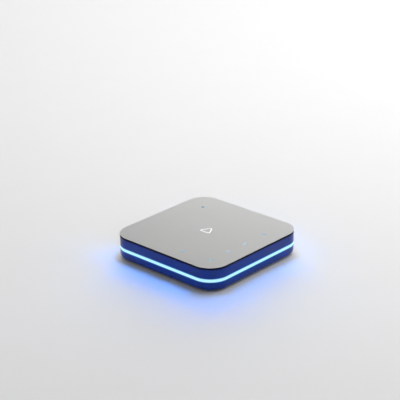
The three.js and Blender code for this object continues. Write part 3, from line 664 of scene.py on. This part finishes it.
def top_plate():
    edge = -OVERHANG
    rim = [(edge + 0.25, PLATE_UNDERSIDE), (edge, TOP - 0.3)] + round_top(TOP, 0.1, 3, edge)
    plate = body_stack("top_plate_fine", rim, 32)
    outer, inner = MARK_RADII
    pocket = loft("cutter", [
        flat_ring(play_outline(outer + GAP), z) for z in (TOP - MARK_DEPTH, TOP + 1)])
    island = loft("island", [
        flat_ring(play_outline(inner - GAP), z) for z in (TOP - MARK_DEPTH - 0.2, TOP + 2)])
    cut(pocket, island)
    cut(plate, pocket, *[lens_hole(node) for node in (*LENSES, STATUS_PIPE)])

    flat_from = TOP - 0.06
    # Painted shadow: the plate's rim, near its outline and below its flat top, takes the dark finish.
    paint_faces(
        plate, ("aluminium_plate", "dark_edge"),
        lambda centre: centre.z < flat_from and near_outline(centre, 1))
    finish_piece(plate, "aluminium_plate", ["top_plate"])


def play_mark():
    outer, inner = MARK_RADII
    bottom = low("play_mark").z
    crown = round_top(high("play_mark").z, 0.1)
    section = [
        (outer, bottom), *[(outer - inset, z) for inset, z in crown],
        *[(inner + inset, z) for inset, z in reversed(crown)], (inner, bottom), (outer, bottom)]
    rings = [flat_ring(play_outline(radius), z) for radius, z in section]
    # The mark's finish glows: painted light that makes the inlay brighter.
    finish_piece(loft("play_mark_fine", rings, ends=False), "white_enamel", ["play_mark"])


def post(place, radius, bottom, top, steps=32, soft=0.0):
    """An upright pin, with an optional chamfer at its lower end."""
    profile = [(0, bottom), (radius - soft, bottom), (radius, bottom + soft), (radius, top), (0, top)]
    return lathe("post", profile, place, steps)


def panel_notch(bottom, height):
    """A cutter for the opening in the rear wall that holds the panel."""
    return rounded_box("notch", (2 * PANEL_HALF + 0.2, 6, height), (0, BODY_HALF, bottom + height / 2), 0.15)


def upper_shell():
    # Painted shadow: the shell's upper edge and the step under the plate take the dark finish, where the
    # gap's shade falls.
    painted_shadow_from = SHOULDER - 0.7
    levels = round_foot(BAND_TOP + GAP, 0.22) + [(0, painted_shadow_from)] + round_top(SHOULDER, 0.25)
    shell = body_stack("upper_shell_fine", levels + [(0.9, SHOULDER), (0.9, SEAT)])
    hollow = body_stack("hollow", [(WALL, BAND_TOP - 1), (WALL, CEILING)])
    notch_height = 20
    notch = panel_notch(high("rear_panel").z - 0.3 - notch_height, notch_height)
    boss, pilot, stake = 3.2, 1.25, 0.8  # radii
    pilot_top, stake_foot, into_ceiling = 16.5, 15.9, CEILING + 0.4
    stake_places = ((-30, -41), (12, -41), (-42.3, -18.5))
    bosses = [post(plan(n), boss, ON_BOARD, into_ceiling, 40, 0.3) for n in CASE_SCREWS]
    stakes = [post(place, stake, stake_foot, into_ceiling, 20, 0.2) for place in stake_places]
    pilots = [post(plan(n), pilot, 0, pilot_top, 24) for n in CASE_SCREWS]
    holes = [post(plan(n), LENS_RADIUS + GAP, CEILING - 1, SEAT + 1) for n in (*LENSES, STATUS_PIPE)]
    cut(shell, hollow, notch)
    join(shell, *bosses, *stakes)
    cut(shell, *pilots, *holes)

    def choose(centre):
        if centre.z > painted_shadow_from:
            return 2
        return 0 if near_outline(centre, 1.5) else 1

    paint_faces(shell, ("navy_plastic", "navy_inside", "dark_edge"), choose)
    finish_piece(shell, "navy_plastic", ["upper_shell"])


def light_guide():
    """A strip with a lip along its top and its bottom, which the two shells hold."""
    lip_front, lip_back, depth, soft = 2.1, 2.85, 3.0, 0.12
    lip_top, lip_bottom = BAND_TOP + GUIDE_LIP, BAND_BOTTOM - GUIDE_LIP
    section = round_foot(BAND_BOTTOM, soft, 3) + round_top(BAND_TOP, soft, 3) + [
        (lip_front, BAND_TOP), (lip_front, lip_top), (lip_back, lip_top), (depth, BAND_TOP),
        (depth, BAND_BOTTOM), (lip_back, lip_bottom), (lip_front, lip_bottom), (lip_front, BAND_BOTTOM)]
    finish_piece(band("light_guide_fine", section), "light_guide", ["light_guide"])


def vent_cutter(x, y, length, width):
    """A slot with round ends through the floor, with a flared mouth at the underside."""
    mouth = 0.3
    steps = [(3.5 * mouth, BASE - 0.5 * mouth), (0.5 * mouth, BASE + 0.5 * mouth), (0, BASE + 1.4 * mouth),
             (0, FLOOR_TOP + 1)]
    return loft("vent", [
        flat_ring(rounded(width + grow, length + grow, (width + grow) / 2 - 1e-4, 10, (x, y)), z)
        for grow, z in steps])


def sunk_hole(node, radius, *more):
    """A hole from below with a slightly flared mouth at the underside, through more (radius, z) points."""
    mouth = 0.25
    return stepped_hole(node, [(radius + 2 * mouth, BASE - mouth), (radius, BASE + mouth), *more])


def lower_shell():
    levels = round_foot(BASE, 3.0, 9) + round_top(BAND_BOTTOM - GAP, 0.22)
    shell = body_stack("lower_shell_fine", levels)
    hollow = body_stack("hollow", [(WALL, FLOOR_TOP), (WALL, BAND_TOP)])
    notch = panel_notch(PANEL_BOTTOM - 0.1, 10)
    rib = band("rib", [(5, FLOOR_TOP - 0.5), (5, 11), (6, 11), (6, FLOOR_TOP - 0.5)])
    post_top = BOARD_UNDERSIDE - GAP
    posts = [
        post(plan(n), radius, BASE + 0.5, post_top, 40)
        for nodes, radius in ((CASE_SCREWS, 3.4), (BOARD_SCREWS, 2.6))
        for n in nodes
    ]
    cut(shell, hollow, notch)
    join(shell, rib, *posts)

    head, shank, pilot, head_seat, deep = 2.7, 1.35, 0.95, 3.0, 10
    seats = [
        sunk_hole(n, head, (head, head_seat), (shank, head_seat), (shank, deep)) for n in CASE_SCREWS]
    pilots = [post(plan(n), pilot, 1.9, deep, 20) for n in BOARD_SCREWS]
    foot_radius = (high(FEET[0]).x - low(FEET[0]).x) / 2 + 0.15
    recesses = [sunk_hole(n, foot_radius, (foot_radius, BASE + 0.5)) for n in FEET]
    pinhole = sunk_hole("reset_plunger", 1.0, (1.0, 5))
    sink = middle("heat_sink")
    vent_pitch = 3.4
    vents = [vent_cutter(sink.x + i * vent_pitch, sink.y, 24, 1.6) for i in range(-5, 6)]
    cut(shell, *seats, *pilots, *recesses, pinhole, *vents)

    paint_faces(
        shell, ("navy_plastic", "navy_inside"),
        lambda centre: centre.z > FLOOR_TOP - 0.1 and not near_outline(centre, 1.5))
    finish_piece(shell, "navy_plastic", ["lower_shell"])


def feet():
    for node in FEET:
        bottom, top = low(node).z, high(node).z
        radius = (high(node).x - low(node).x) / 2
        profile = [(0, bottom), (radius - 1.6, bottom), (radius - 1.45, bottom + 0.1),
                   (radius - 1.25, bottom + 0.1), (radius - 1.1, bottom)]
        profile += [(radius - inset, z) for inset, z in round_foot(bottom, 0.35, 5)]
        profile += [(radius, top), (0, top)]
        finish_piece(lathe(node + "_fine", profile, plan(node), 64), "rubber", [node])


# ---- rear panel and sockets


def box_ring(node, corner=0.4):
    """The outline of a socket's box, in x and z, as a function of a margin."""
    size, centre = high(node) - low(node), (middle(node).x, middle(node).z)
    return lambda margin: rounded(size.x + 2 * margin, size.z + 2 * margin, corner + margin, 5, centre)


def hdmi_ring(margin):
    """The outline of the HDMI shell: a box whose lower corners slope in."""
    x, z = middle("hdmi_shell").x, low("hdmi_shell").z
    half, foot, slope, height = 7.5 + margin, 5.8 + margin / 2, 2.1 - margin / 2, 5.6 + margin
    left = [(-half, height), (-half, slope), (-foot, -margin)]
    right = [(-across, up) for across, up in reversed(left)]
    return filleted([(x + across, z + up) for across, up in left + right], 0.45)


def round_ring(node, radius):
    centre = (middle(node).x, middle(node).z)
    return lambda margin: circle(radius + margin, 64, centre)


def along_y(name, ring, stations):
    """A solid whose outline is ring(margin) at each (margin, y) station."""
    return loft(name, [deep_ring(ring(margin), y) for margin, y in stations])


def slab(name, depths, heights, radius, segments):
    """A block as wide as the panel, between two depths along Y and two heights."""
    size = (2 * PANEL_HALF, depths[1] - depths[0], heights[1] - heights[0])
    return rounded_box(name, size, (0, sum(depths) / 2, sum(heights) / 2), radius, segments)


def rear_panel():
    behind, in_front = low("rear_panel").y, BODY_HALF - WALL - 0.25
    face = slab("rear_panel_fine", (in_front - 0.4, PANEL_FACE), (PANEL_BOTTOM, PANEL_TOP), 0.3, 4)
    join(face, slab("flange", (behind, in_front), (low("rear_panel").z, high("rear_panel").z), 0.15, 2))
    clear, chamfer = 0.15, 0.35
    rings = [
        hdmi_ring, box_ring("ethernet_body"), box_ring("usb_shell"), box_ring("power_inlet_body"),
        round_ring("power_button", BUTTON_RADIUS)]
    stations = [
        (clear, behind - 1), (clear, PANEL_FACE - chamfer),
        (clear + chamfer * 0.3, PANEL_FACE - chamfer * 0.3), (clear + chamfer, PANEL_FACE),
        (clear + chamfer, PANEL_FACE + 1)]
    cut(face, *[along_y("opening", ring, stations) for ring in rings])
    finish_piece(face, "black_plastic", ["rear_panel"])


def strips(name, places, size, radius=0.03):
    """Contacts: small rounded strips, all of one size, as one object."""
    return gathered(name, [rounded_box("strip", size, place, radius, 2) for place in places])


def folded_shell(name, ring, back, front):
    """The outside of a socket's sheet-metal shell, with its edges slightly broken."""
    return along_y(name, ring, [
        (-0.1, back), (0, back + 0.1), (0, front - 0.12), (-0.04, front - 0.03), (-0.12, front)])


def hdmi():
    wall, depth, face = 0.4, 11.7, high("hdmi_shell").y
    back = face - depth
    x, z = middle("hdmi_shell").x, low("hdmi_shell").z
    shell = folded_shell("hdmi_shell_fine", hdmi_ring, back, face)
    inside = along_y("inside", hdmi_ring, [
        (-wall, back + 0.5), (-wall, face - 0.35), (-0.28, face - 0.08),
        (-0.2, face + 0.01), (-0.2, face + 1)])
    cut(shell, inside)
    springs = [
        rounded_box("spring", (1.5, 3.6, 0.5), (x + side * 3.6, face - 3.4, z + height))
        for side in (-1, 1)
        for height in (0.35, 5.25)
    ]
    join(shell, *springs)
    finish_piece(shell, "tin_plate", ["hdmi_shell"])

    tongue = along_y("hdmi_tongue_fine", hdmi_ring, [(-wall - GAP, back + 0.6), (-wall - GAP, back + 4.1)])
    blade = rounded_box("blade", (11.4, 7.2, 1.2), (x, face - 5.1, z + 3.5), 0.18, 3)
    join(tongue, blade)
    finish_piece(tongue, "black_plastic", ["hdmi_tongue"])
    places = [(x + i - 4.5, face - 5, z + 4.11) for i in range(10)]
    places += [(x + i - 4, face - 5, z + 2.89) for i in range(9)]
    finish_piece(strips("hdmi_contacts_fine", places, (0.42, 6.2, 0.12)), "gold_contact")


def usb():
    lo, hi = low("usb_shell"), high("usb_shell")
    wall = 0.4
    x, z = (lo.x + hi.x) / 2, lo.z
    height = hi.z - lo.z
    ring = box_ring("usb_shell", 0.55)
    shell = folded_shell("usb_shell_fine", ring, lo.y, hi.y)
    inside = along_y("inside", ring, [
        (-wall, lo.y + wall), (-wall, hi.y - 0.4), (-0.28, hi.y - 0.1), (-0.2, hi.y + 0.01),
        (-0.2, hi.y + 1)])
    windows = [
        rounded_box("window", (1.6, 2.6, 2), (x + side * 3, hi.y - 7, z + height)) for side in (-1, 1)]
    cut(shell, inside, *windows)
    springs = [
        rounded_box("spring", (1.7, 4.2, 0.6), (x + side * 3.1, hi.y - 3.6, z + level), 0.25, 4)
        for side in (-1, 1)
        for level in (0.4, height - 0.4)
    ]
    springs += [
        rounded_box("spring", (0.5, 4.2, 1.6), (x + side * (6.6 - 0.38), hi.y - 3.8, z + 2.2), 0.22, 4)
        for side in (-1, 1)]
    join(shell, *springs)
    finish_piece(shell, "tin_plate", ["usb_shell"])

    free = wall + GAP
    tongue = along_y("usb_tongue_fine", ring, [(-free, lo.y + free), (-free, lo.y + free + 4)])
    blade = rounded_box("blade", (11.1, 9.2, 1.9), (x, hi.y - 5.2, z + height - wall - 1.55), 0.22, 3)
    join(tongue, blade)
    finish_piece(tongue, "black_plastic", ["usb_tongue"])
    under = z + height - wall - 2.5
    places = [(x + offset, hi.y - 5, under) for offset in (-3.5, -1.0, 1.0, 3.5)]
    finish_piece(strips("usb_contacts_fine", places, (1.1, 6.6, 0.14), 0.05), "gold_contact")


def ethernet():
    lo, hi = low("ethernet_body"), high("ethernet_body")
    x, z, face = (lo.x + hi.x) / 2, lo.z, hi.y
    width, height = hi.x - lo.x, hi.z - lo.z
    body = along_y("ethernet_body_fine", box_ring("ethernet_body", 0.45), [
        (-0.15, lo.y), (0, lo.y + 0.15), (0, face - 0.1), (-0.1, face)])
    skin = 0.35
    dish_width, dish_height = width - 2 * skin, height - 2 * skin
    dish = rounded_box("dish", (dish_width, 0.8, dish_height), (x, face + 0.1, z + height / 2), 0.25, 3)
    cavity_width, cavity_height, cavity_depth = 11.8, 6.9, 12.4
    sill = z + 2.2  # the cavity's floor

    def mouth(margin):
        size = (cavity_width + 2 * margin, cavity_height + 2 * margin)
        return rounded(*size, 0.25 + margin, 3, (x, sill + cavity_height / 2))

    cavity = along_y("cavity", mouth, [
        (0, face - cavity_depth), (0, face - 0.9), (0.35, face - 0.25), (0.35, face + 1)])
    latch = rounded_box("latch", (6.4, 9, 1.6), (x, face - 3.5, sill - 0.05), 0.15, 2)
    catch_slot = rounded_box("catch", (3.2, 9, 1.5), (x, face - 3.5, sill - 0.75), 0.15, 2)
    room = rounded_box("room", (9.4, 11.8, 1.8), (x, face - 7.1, sill + 7.7), 0.1, 2)
    cut(body, dish, cavity, latch, catch_slot, room)
    pitch = 1.02
    combs = [
        rounded_box("comb", (0.35, 3.2, 0.9), (x + (i - 4) * pitch, face - 3.2, z + 9.35), 0.08, 2)
        for i in range(9)]
    join(body, *combs)

    def choose(centre):
        across, up = abs(centre.x - x), abs(centre.z - z - height / 2)
        inside = across < dish_width / 2 + 0.05 and up < dish_height / 2 + 0.05
        return 1 if inside and centre.y > lo.y + 0.5 else 0

    paint_faces(body, ("tin_plate", "black_plastic"), choose)
    finish_piece(body, "tin_plate", ["ethernet_body"])

    for name, side in (("green_window", -1), ("amber_window", 1)):
        place = (x + side * 5.9, face - 0.2, z + 10.35)
        window = rounded_box(f"ethernet_{name}_fine", (2.5, 0.5, 1.35), place)
        finish_piece(window, "indicator_lens", finish=name)

    bends = ((-12.3, 10.0), (-9.5, 9.55), (-6.5, 8.85), (-5.2, 8.55), (-4.5, 8.5), (-3.9, 8.7), (-2.5, 9.75))
    wires = [
        tube("wire", [(x + (i - 3.5) * pitch, face + y, z + up) for y, up in bends], 0.2) for i in range(8)]
    finish_piece(gathered("ethernet_contacts_fine", wires), "gold_contact", ["ethernet_contacts"])
    carrier = rounded_box("ethernet_carrier_fine", (8.8, 1.2, 1.4), (x, face - 12.3, z + 10), 0.15, 2)
    finish_piece(carrier, "black_plastic")


def power_inlet():
    lo, hi = low("power_inlet_body"), high("power_inlet_body")
    pin_lo, pin_hi = low("power_inlet_pin"), high("power_inlet_pin")
    x, z = (pin_lo.x + pin_hi.x) / 2, (pin_lo.z + pin_hi.z) / 2
    bore = 3.2
    body = along_y("power_inlet_body_fine", box_ring("power_inlet_body", 0.5), [
        (-0.15, lo.y), (0, lo.y + 0.15), (0, hi.y - 0.15), (-0.15, hi.y)])
    hole = lathe_along_y("bore", [
        (0, hi.y - 10.5), (bore, hi.y - 10.5), (bore, hi.y - 0.7), (bore + 0.1, hi.y - 0.4),
        (bore + 0.6, hi.y + 0.02), (bore + 0.6, hi.y + 1), (0, hi.y + 1)], (x, 0, z))
    pin_hole = lathe_along_y("pin_hole", [
        (0, hi.y - 12.5), (1.05, hi.y - 12.5), (1.05, hi.y - 9.5), (0, hi.y - 9.5)], (x, 0, z))
    cut(body, hole, pin_hole)
    finish_piece(body, "black_plastic", ["power_inlet_body"])
    pin = lathe_along_y("power_inlet_pin_fine", [
        (0, pin_lo.y), (1, pin_lo.y), (1, pin_hi.y - 0.75), (0.95, pin_hi.y - 0.45), (0.78, pin_hi.y - 0.18),
        (0.5, pin_hi.y - 0.04), (0, pin_hi.y)], (x, 0, z), 40)
    finish_piece(pin, "screw_steel", ["power_inlet_pin"])
    corners = ((-0.9, 0), (0.9, 0), (0.9, -0.2), (-0.9, -0.2))
    bends = ((-9.9, 3.0), (-7, 2.75), (-4, 2.35), (-2.6, 2.4), (-1.6, 2.9))
    leaf = [[(x + side, hi.y + y, z - drop + up) for side, up in corners] for y, drop in bends]
    finish_piece(loft("power_inlet_leaf_fine", leaf), "screw_steel")


def power_symbol(x, z, face):
    """A ring with a gap at the top, and a bar in the gap, drawn on a face."""
    radius, half_line, gap = 0.95, 0.11, math.radians(38)
    outer, inner = [
        arc_points((x, z), radius + side * half_line, math.pi / 2 + gap, 2 * math.pi - 2 * gap, 28)
        for side in (1, -1)]
    bar = [(x + side * half_line, z + up) for side, up in ((-1, 0.15), (1, 0.15), (1, 1.25), (-1, 1.25))]
    marks = [
        loft("mark", [deep_ring(shape, y) for y in (face - 0.2, face - 0.06)])
        for shape in (outer + inner[::-1], bar)]
    finish_piece(gathered("power_symbol_fine", marks), "white_enamel", body=BUTTON, finish="symbol_ink")


def power_button():
    lo, hi = low("power_button"), high("power_button")
    x, z, face = (lo.x + hi.x) / 2, (lo.z + hi.z) / 2, hi.y
    flange_radius, flange_back = BUTTON_RADIUS + 0.8, BUTTON_FLANGE - 0.8
    profile = [
        (0, flange_back), (flange_radius, flange_back), (flange_radius, BUTTON_FLANGE),
        (BUTTON_RADIUS, BUTTON_FLANGE)]
    profile += [(BUTTON_RADIUS - inset, y) for inset, y in round_top(face, 0.3, 5)]
    profile += [(1.7, face - 0.03), (1.1, face - 0.1), (0, face - 0.13)]
    cap = lathe_along_y("power_button_fine", profile, (x, 0, z), 64)
    stem_front = flange_back + 0.1
    stem = rounded_box("stem", (2.2, stem_front - lo.y, 2.2), (x, (stem_front + lo.y) / 2, z), 0.15, 2)
    join(cap, stem)
    finish_piece(cap, "black_plastic", ["power_button"], BUTTON)
    power_symbol(x, z, face)


# ---- screws, lenses, reset


def cross_cutter(x, y, z):
    """A tapered cross-shaped recess that opens downwards at z."""
    steps = ((-0.5, 1.55, 0.42), (0, 1.5, 0.4), (0.95, 0.6, 0.22))  # level, half length and half width
    corners = ((-1, -1), (1, -1), (1, 1), (-1, 1))
    arms = [
        loft("arm", [[(x + sx * p, y + sy * q, z + up) for sx, sy in corners] for up, p, q in arm])
        for arm in (steps, [(up, wide, long) for up, long, wide in steps])]
    tip = lathe("tip", [(0, z - 0.5), (0.75, z - 0.5), (0.7, z), (0.3, z + 0.95), (0, z + 1.2)], (x, y), 24)
    return [*arms, tip]


def case_screws():
    head_radius, head_height, shank, root, pitch = 2.4, 1.6, 1.2, 1.0, 0.7
    for node in CASE_SCREWS:
        x, y = plan(node)
        bottom, top = low(node).z, high(node).z
        under = bottom + head_height
        profile = [(0, bottom), (1.5, bottom), (2.0, bottom + 0.18), (2.3, bottom + 0.5),
                   (head_radius, bottom + 0.85), (head_radius, under - 0.1), (head_radius - 0.1, under),
                   (shank, under)]
        for i in range(int((top - under - 1.4) / pitch)):
            foot = under + 0.4 + i * pitch
            profile += [(root, foot), (root, foot + 0.25), (shank, foot + 0.4), (shank, foot + 0.5)]
        profile += [(root, top - 0.8), (0.5, top), (0, top)]
        made = cut(lathe(node + "_fine", profile, (x, y)), *cross_cutter(x, y, bottom))
        finish_piece(made, "screw_steel", [node])


def dome(radius):
    """The slightly crowned top of a lens, as (radius, z) points from its flank to its middle."""
    return [(radius, TOP - 0.14), (radius - 0.03, TOP - 0.06), (radius - 0.12, TOP - 0.01),
            (radius * 0.5, TOP + 0.03), (0, TOP + 0.04)]


def lenses():
    """The indicator lenses, and the status lens, which is the head of a light pipe."""
    flange = low(LENSES[0]).z
    flange_top = flange + 0.55
    head = [(LENS_FLANGE, flange), (LENS_FLANGE, flange_top), (LENS_RADIUS, flange_top), *dome(LENS_RADIUS)]
    for node in LENSES:
        finish_piece(lathe(node + "_fine", [(0, flange), *head], plan(node), 40), "indicator_lens", [node])
    bottom, pipe = low(STATUS_PIPE).z, 1.5
    profile = [(0, bottom), (pipe - 0.1, bottom), (pipe, bottom + 0.1), (pipe, flange), *head]
    made = lathe(STATUS_PIPE + "_fine", profile, plan(STATUS_PIPE), 40)
    finish_piece(made, "indicator_lens", [STATUS_PIPE], finish="status_lens")


def reset_plunger():
    lo, hi = low("reset_plunger"), high("reset_plunger")
    radius = (hi.x - lo.x) / 2
    profile = [(0, lo.z), (radius * 0.6, lo.z + 0.02), (radius * 0.87, lo.z + 0.1), (radius, lo.z + 0.25),
               (radius, hi.z), (0, hi.z)]
    made = lathe("reset_plunger_fine", profile, plan("reset_plunger"), 32)
    finish_piece(made, "nylon", ["reset_plunger"], PLUNGER)


# ---- floor, light


def studio_floor():
    """A plain pale surface, much larger than the view."""
    half = 6.0  # metres
    corners = [(-half, -half, 0), (half, -half, 0), (half, half, 0), (-half, half, 0)]
    mesh = bpy.data.meshes.new("studio_floor")
    mesh.from_pydata(corners, [], [(0, 1, 2, 3)])
    made = placed("studio_floor", mesh)
    nodes = Nodes("studio_floor").set(roughness=0.9, specular_ior_level=0.2)
    nodes.colour(nodes.mottle((0.8, 0.8, 0.8), 40, 0.004))
    made.data.materials.append(nodes.material)


def hung(data, aim):
    """A light that faces along aim, and that leaves no highlight of its own."""
    made = placed(data.name, data)
    made.rotation_mode = "QUATERNION"
    made.rotation_quaternion = aim.to_track_quat("-Z", "Y")
    made.visible_glossy = False
    return made


def area_light(name, place, aim, size, power, colour=(1, 1, 1), spread=180):
    """A softbox or a small lamp that the camera doesn't see."""
    data = bpy.data.lights.new(name, "AREA")
    data.shape = "RECTANGLE"
    data.size, data.size_y = size
    data.energy = power
    data.color = colour
    data.spread = math.radians(spread)
    made = hung(data, aim)
    made.location = place
    made.visible_camera = False
    return made


AWAY = Vector((0.7355, 0.6775, 0))  # level, away from the camera
ACROSS = Vector((0.6775, -0.7355, 0))  # level, to the camera's right
UP = Vector((0, 0, 1))


def sky():
    """An even surround, paler towards the horizon, with glows on every side that the plate reflects."""
    world = bpy.data.worlds.new("studio")
    world.use_nodes = True
    tree = world.node_tree
    background = tree.nodes["Background"]
    background.inputs["Color"].default_value = (1, 1, 1, 1)
    direction = add_node(tree, "ShaderNodeTexCoord", {}).outputs["Generated"]

    def glow(centre, narrowness, strength):
        towards = add_node(
            tree, "ShaderNodeVectorMath", {0: direction, 1: centre.normalized()}, operation="DOT_PRODUCT")
        facing = arithmetic(tree, "MAXIMUM", towards.outputs["Value"], 0)
        return arithmetic(tree, "MULTIPLY", arithmetic(tree, "POWER", facing, narrowness), strength)

    def horizon(height, strength):
        up = add_node(tree, "ShaderNodeSeparateXYZ", {"Vector": direction}).outputs["Z"]
        inputs = {"Value": up, "From Max": height, "To Min": strength, "To Max": 0}
        return add_node(tree, "ShaderNodeMapRange", inputs).outputs["Result"]

    strength = 0.17  # even, on every side
    parts = [
        horizon(0.25, 0.5),
        glow(AWAY + ACROSS * 0.3, 40, 6.6),
        glow(AWAY + UP * 0.05, 60, 5.1),
        glow(ACROSS + UP * 0.35, 14, 0.55),
        glow(-ACROSS + UP * 0.45, 14, 0.55),
        glow(-AWAY + UP * 0.35, 14, 0.35),
    ]
    for part in parts:
        strength = arithmetic(tree, "ADD", part, strength)
    tree.links.new(strength, background.inputs["Strength"])
    bpy.context.scene.world = world


def shade_casing(light):
    """Keeps a light off the two shells, whose far sides it would wash out."""
    shaded = bpy.data.collections.new("shaded_from_" + light.name)
    for name in ("upper_shell_fine", "lower_shell_fine"):
        shaded.objects.link(bpy.data.objects[name])
    for row in shaded.collection_objects:
        row.light_linking.link_state = "EXCLUDE"
    light.light_linking.receiver_collection = shaded


def softboxes():
    right = ACROSS * 1.2 + AWAY * 0.6 + UP * 0.8
    shade_casing(area_light("far_light", AWAY * 2.2 + UP * 0.9, AWAY * -1.7 - UP * 0.9, (2.5, 1.2), 26.6))
    area_light("over_light", AWAY * 0.4 + ACROSS * 0.35 + UP * 0.8, -UP, (1, 0.9), 3.9)
    area_light("right_light", right, -right, (1.2, 1), 4.4)


def window_light():
    """Broad light from low behind the object, which leaves its soft shadow on the near side."""
    data = bpy.data.lights.new("window_light", "SUN")
    data.energy = 2.4
    data.angle = math.radians(50)
    low_down = math.radians(15)
    shade_casing(hung(data, -AWAY * math.cos(low_down) - UP * math.sin(low_down)))


def evenly_along(points, count):
    """Places at even spacing on an open line of points, each with the level direction away from the body."""
    lengths = [(b - a).length for a, b in zip(points, points[1:])]
    found = []
    for i in range(count):
        reach = (i + 0.5) / count * sum(lengths)
        leg = 0
        while reach > lengths[leg]:
            reach -= lengths[leg]
            leg += 1
        along = (points[leg + 1] - points[leg]).normalized()
        found.append((points[leg] + along * reach, Vector((along.y, -along.x, 0))))
    return found, sum(lengths) / count


def glow_lamps():
    """The light that the strip throws on the floor, from small lamps all along it that face out and down."""
    stand_off = 0.4
    count = 7  # lamps in each stretch
    height = (BAND_BOTTOM + BAND_TOP) / 2
    colour = (0, 0.24, 1)
    beams = (("wide", -5, 85), ("level", 22, 60), ("steep", 48, 60))  # degrees: tilt down, and spread
    powers = {  # watts for each metre of the strip, from each beam
        "left_corner": (0.104, 0.029, 0.036),
        "left": (0.042, 0.06, 0.034),
        "near_corner": (0.44, 0.08, 0.016),
        "front": (0.036, 0.037, 0.027),
        "right_corner": (0.038, 0.023, 0.014),
        "right": (0, 0.023, 0.018),
        "rear_corner": (0, 0.028, 0.013),
    }
    ring = [Vector((x, y, height)) for x, y in outline(-stand_off)]
    corners = [ring[k * (ARC + 1):(k + 1) * (ARC + 1)] for k in (1, 2, 3, 0)]
    stretches = dict(zip(("left_corner", "near_corner", "right_corner", "rear_corner"), corners))
    for name, before, after in zip(("left", "front", "right"), corners, corners[1:]):
        stretches[name] = [before[-1], after[0]]
    for part, points in stretches.items():
        places, spacing = evenly_along(points, count)
        size = (0.9 * spacing * MM, 2.4 * MM)
        for i, (place, outward) in enumerate(places):
            for (beam, tilt, spread), power in zip(beams, powers[part]):
                aim = outward * math.cos(math.radians(tilt)) - UP * math.sin(math.radians(tilt))
                name = f"glow_{part}_{i}_{beam}"
                if power:
                    area_light(name, place * MM, aim, size, power * spacing * MM, colour, spread)


def picture():
    view = bpy.context.scene.view_settings
    view.view_transform = "Standard"
    view.look = "None"


# ---- putting it together

camera()
picture()
MATERIALS = make_materials()
top_plate()
play_mark()
upper_shell()
light_guide()
lower_shell()
feet()
rear_panel()
hdmi()
usb()
ethernet()
power_inlet()
power_button()
case_screws()
lenses()
reset_plunger()
studio_floor()
sky()
softboxes()
window_light()
glow_lamps()

for row in frame["record"]["subparts"]:
    node = frame["nodes"][row["node"]]
    node.data.materials.clear()
    node.data.materials.append(MATERIALS[row["material_slot"]])
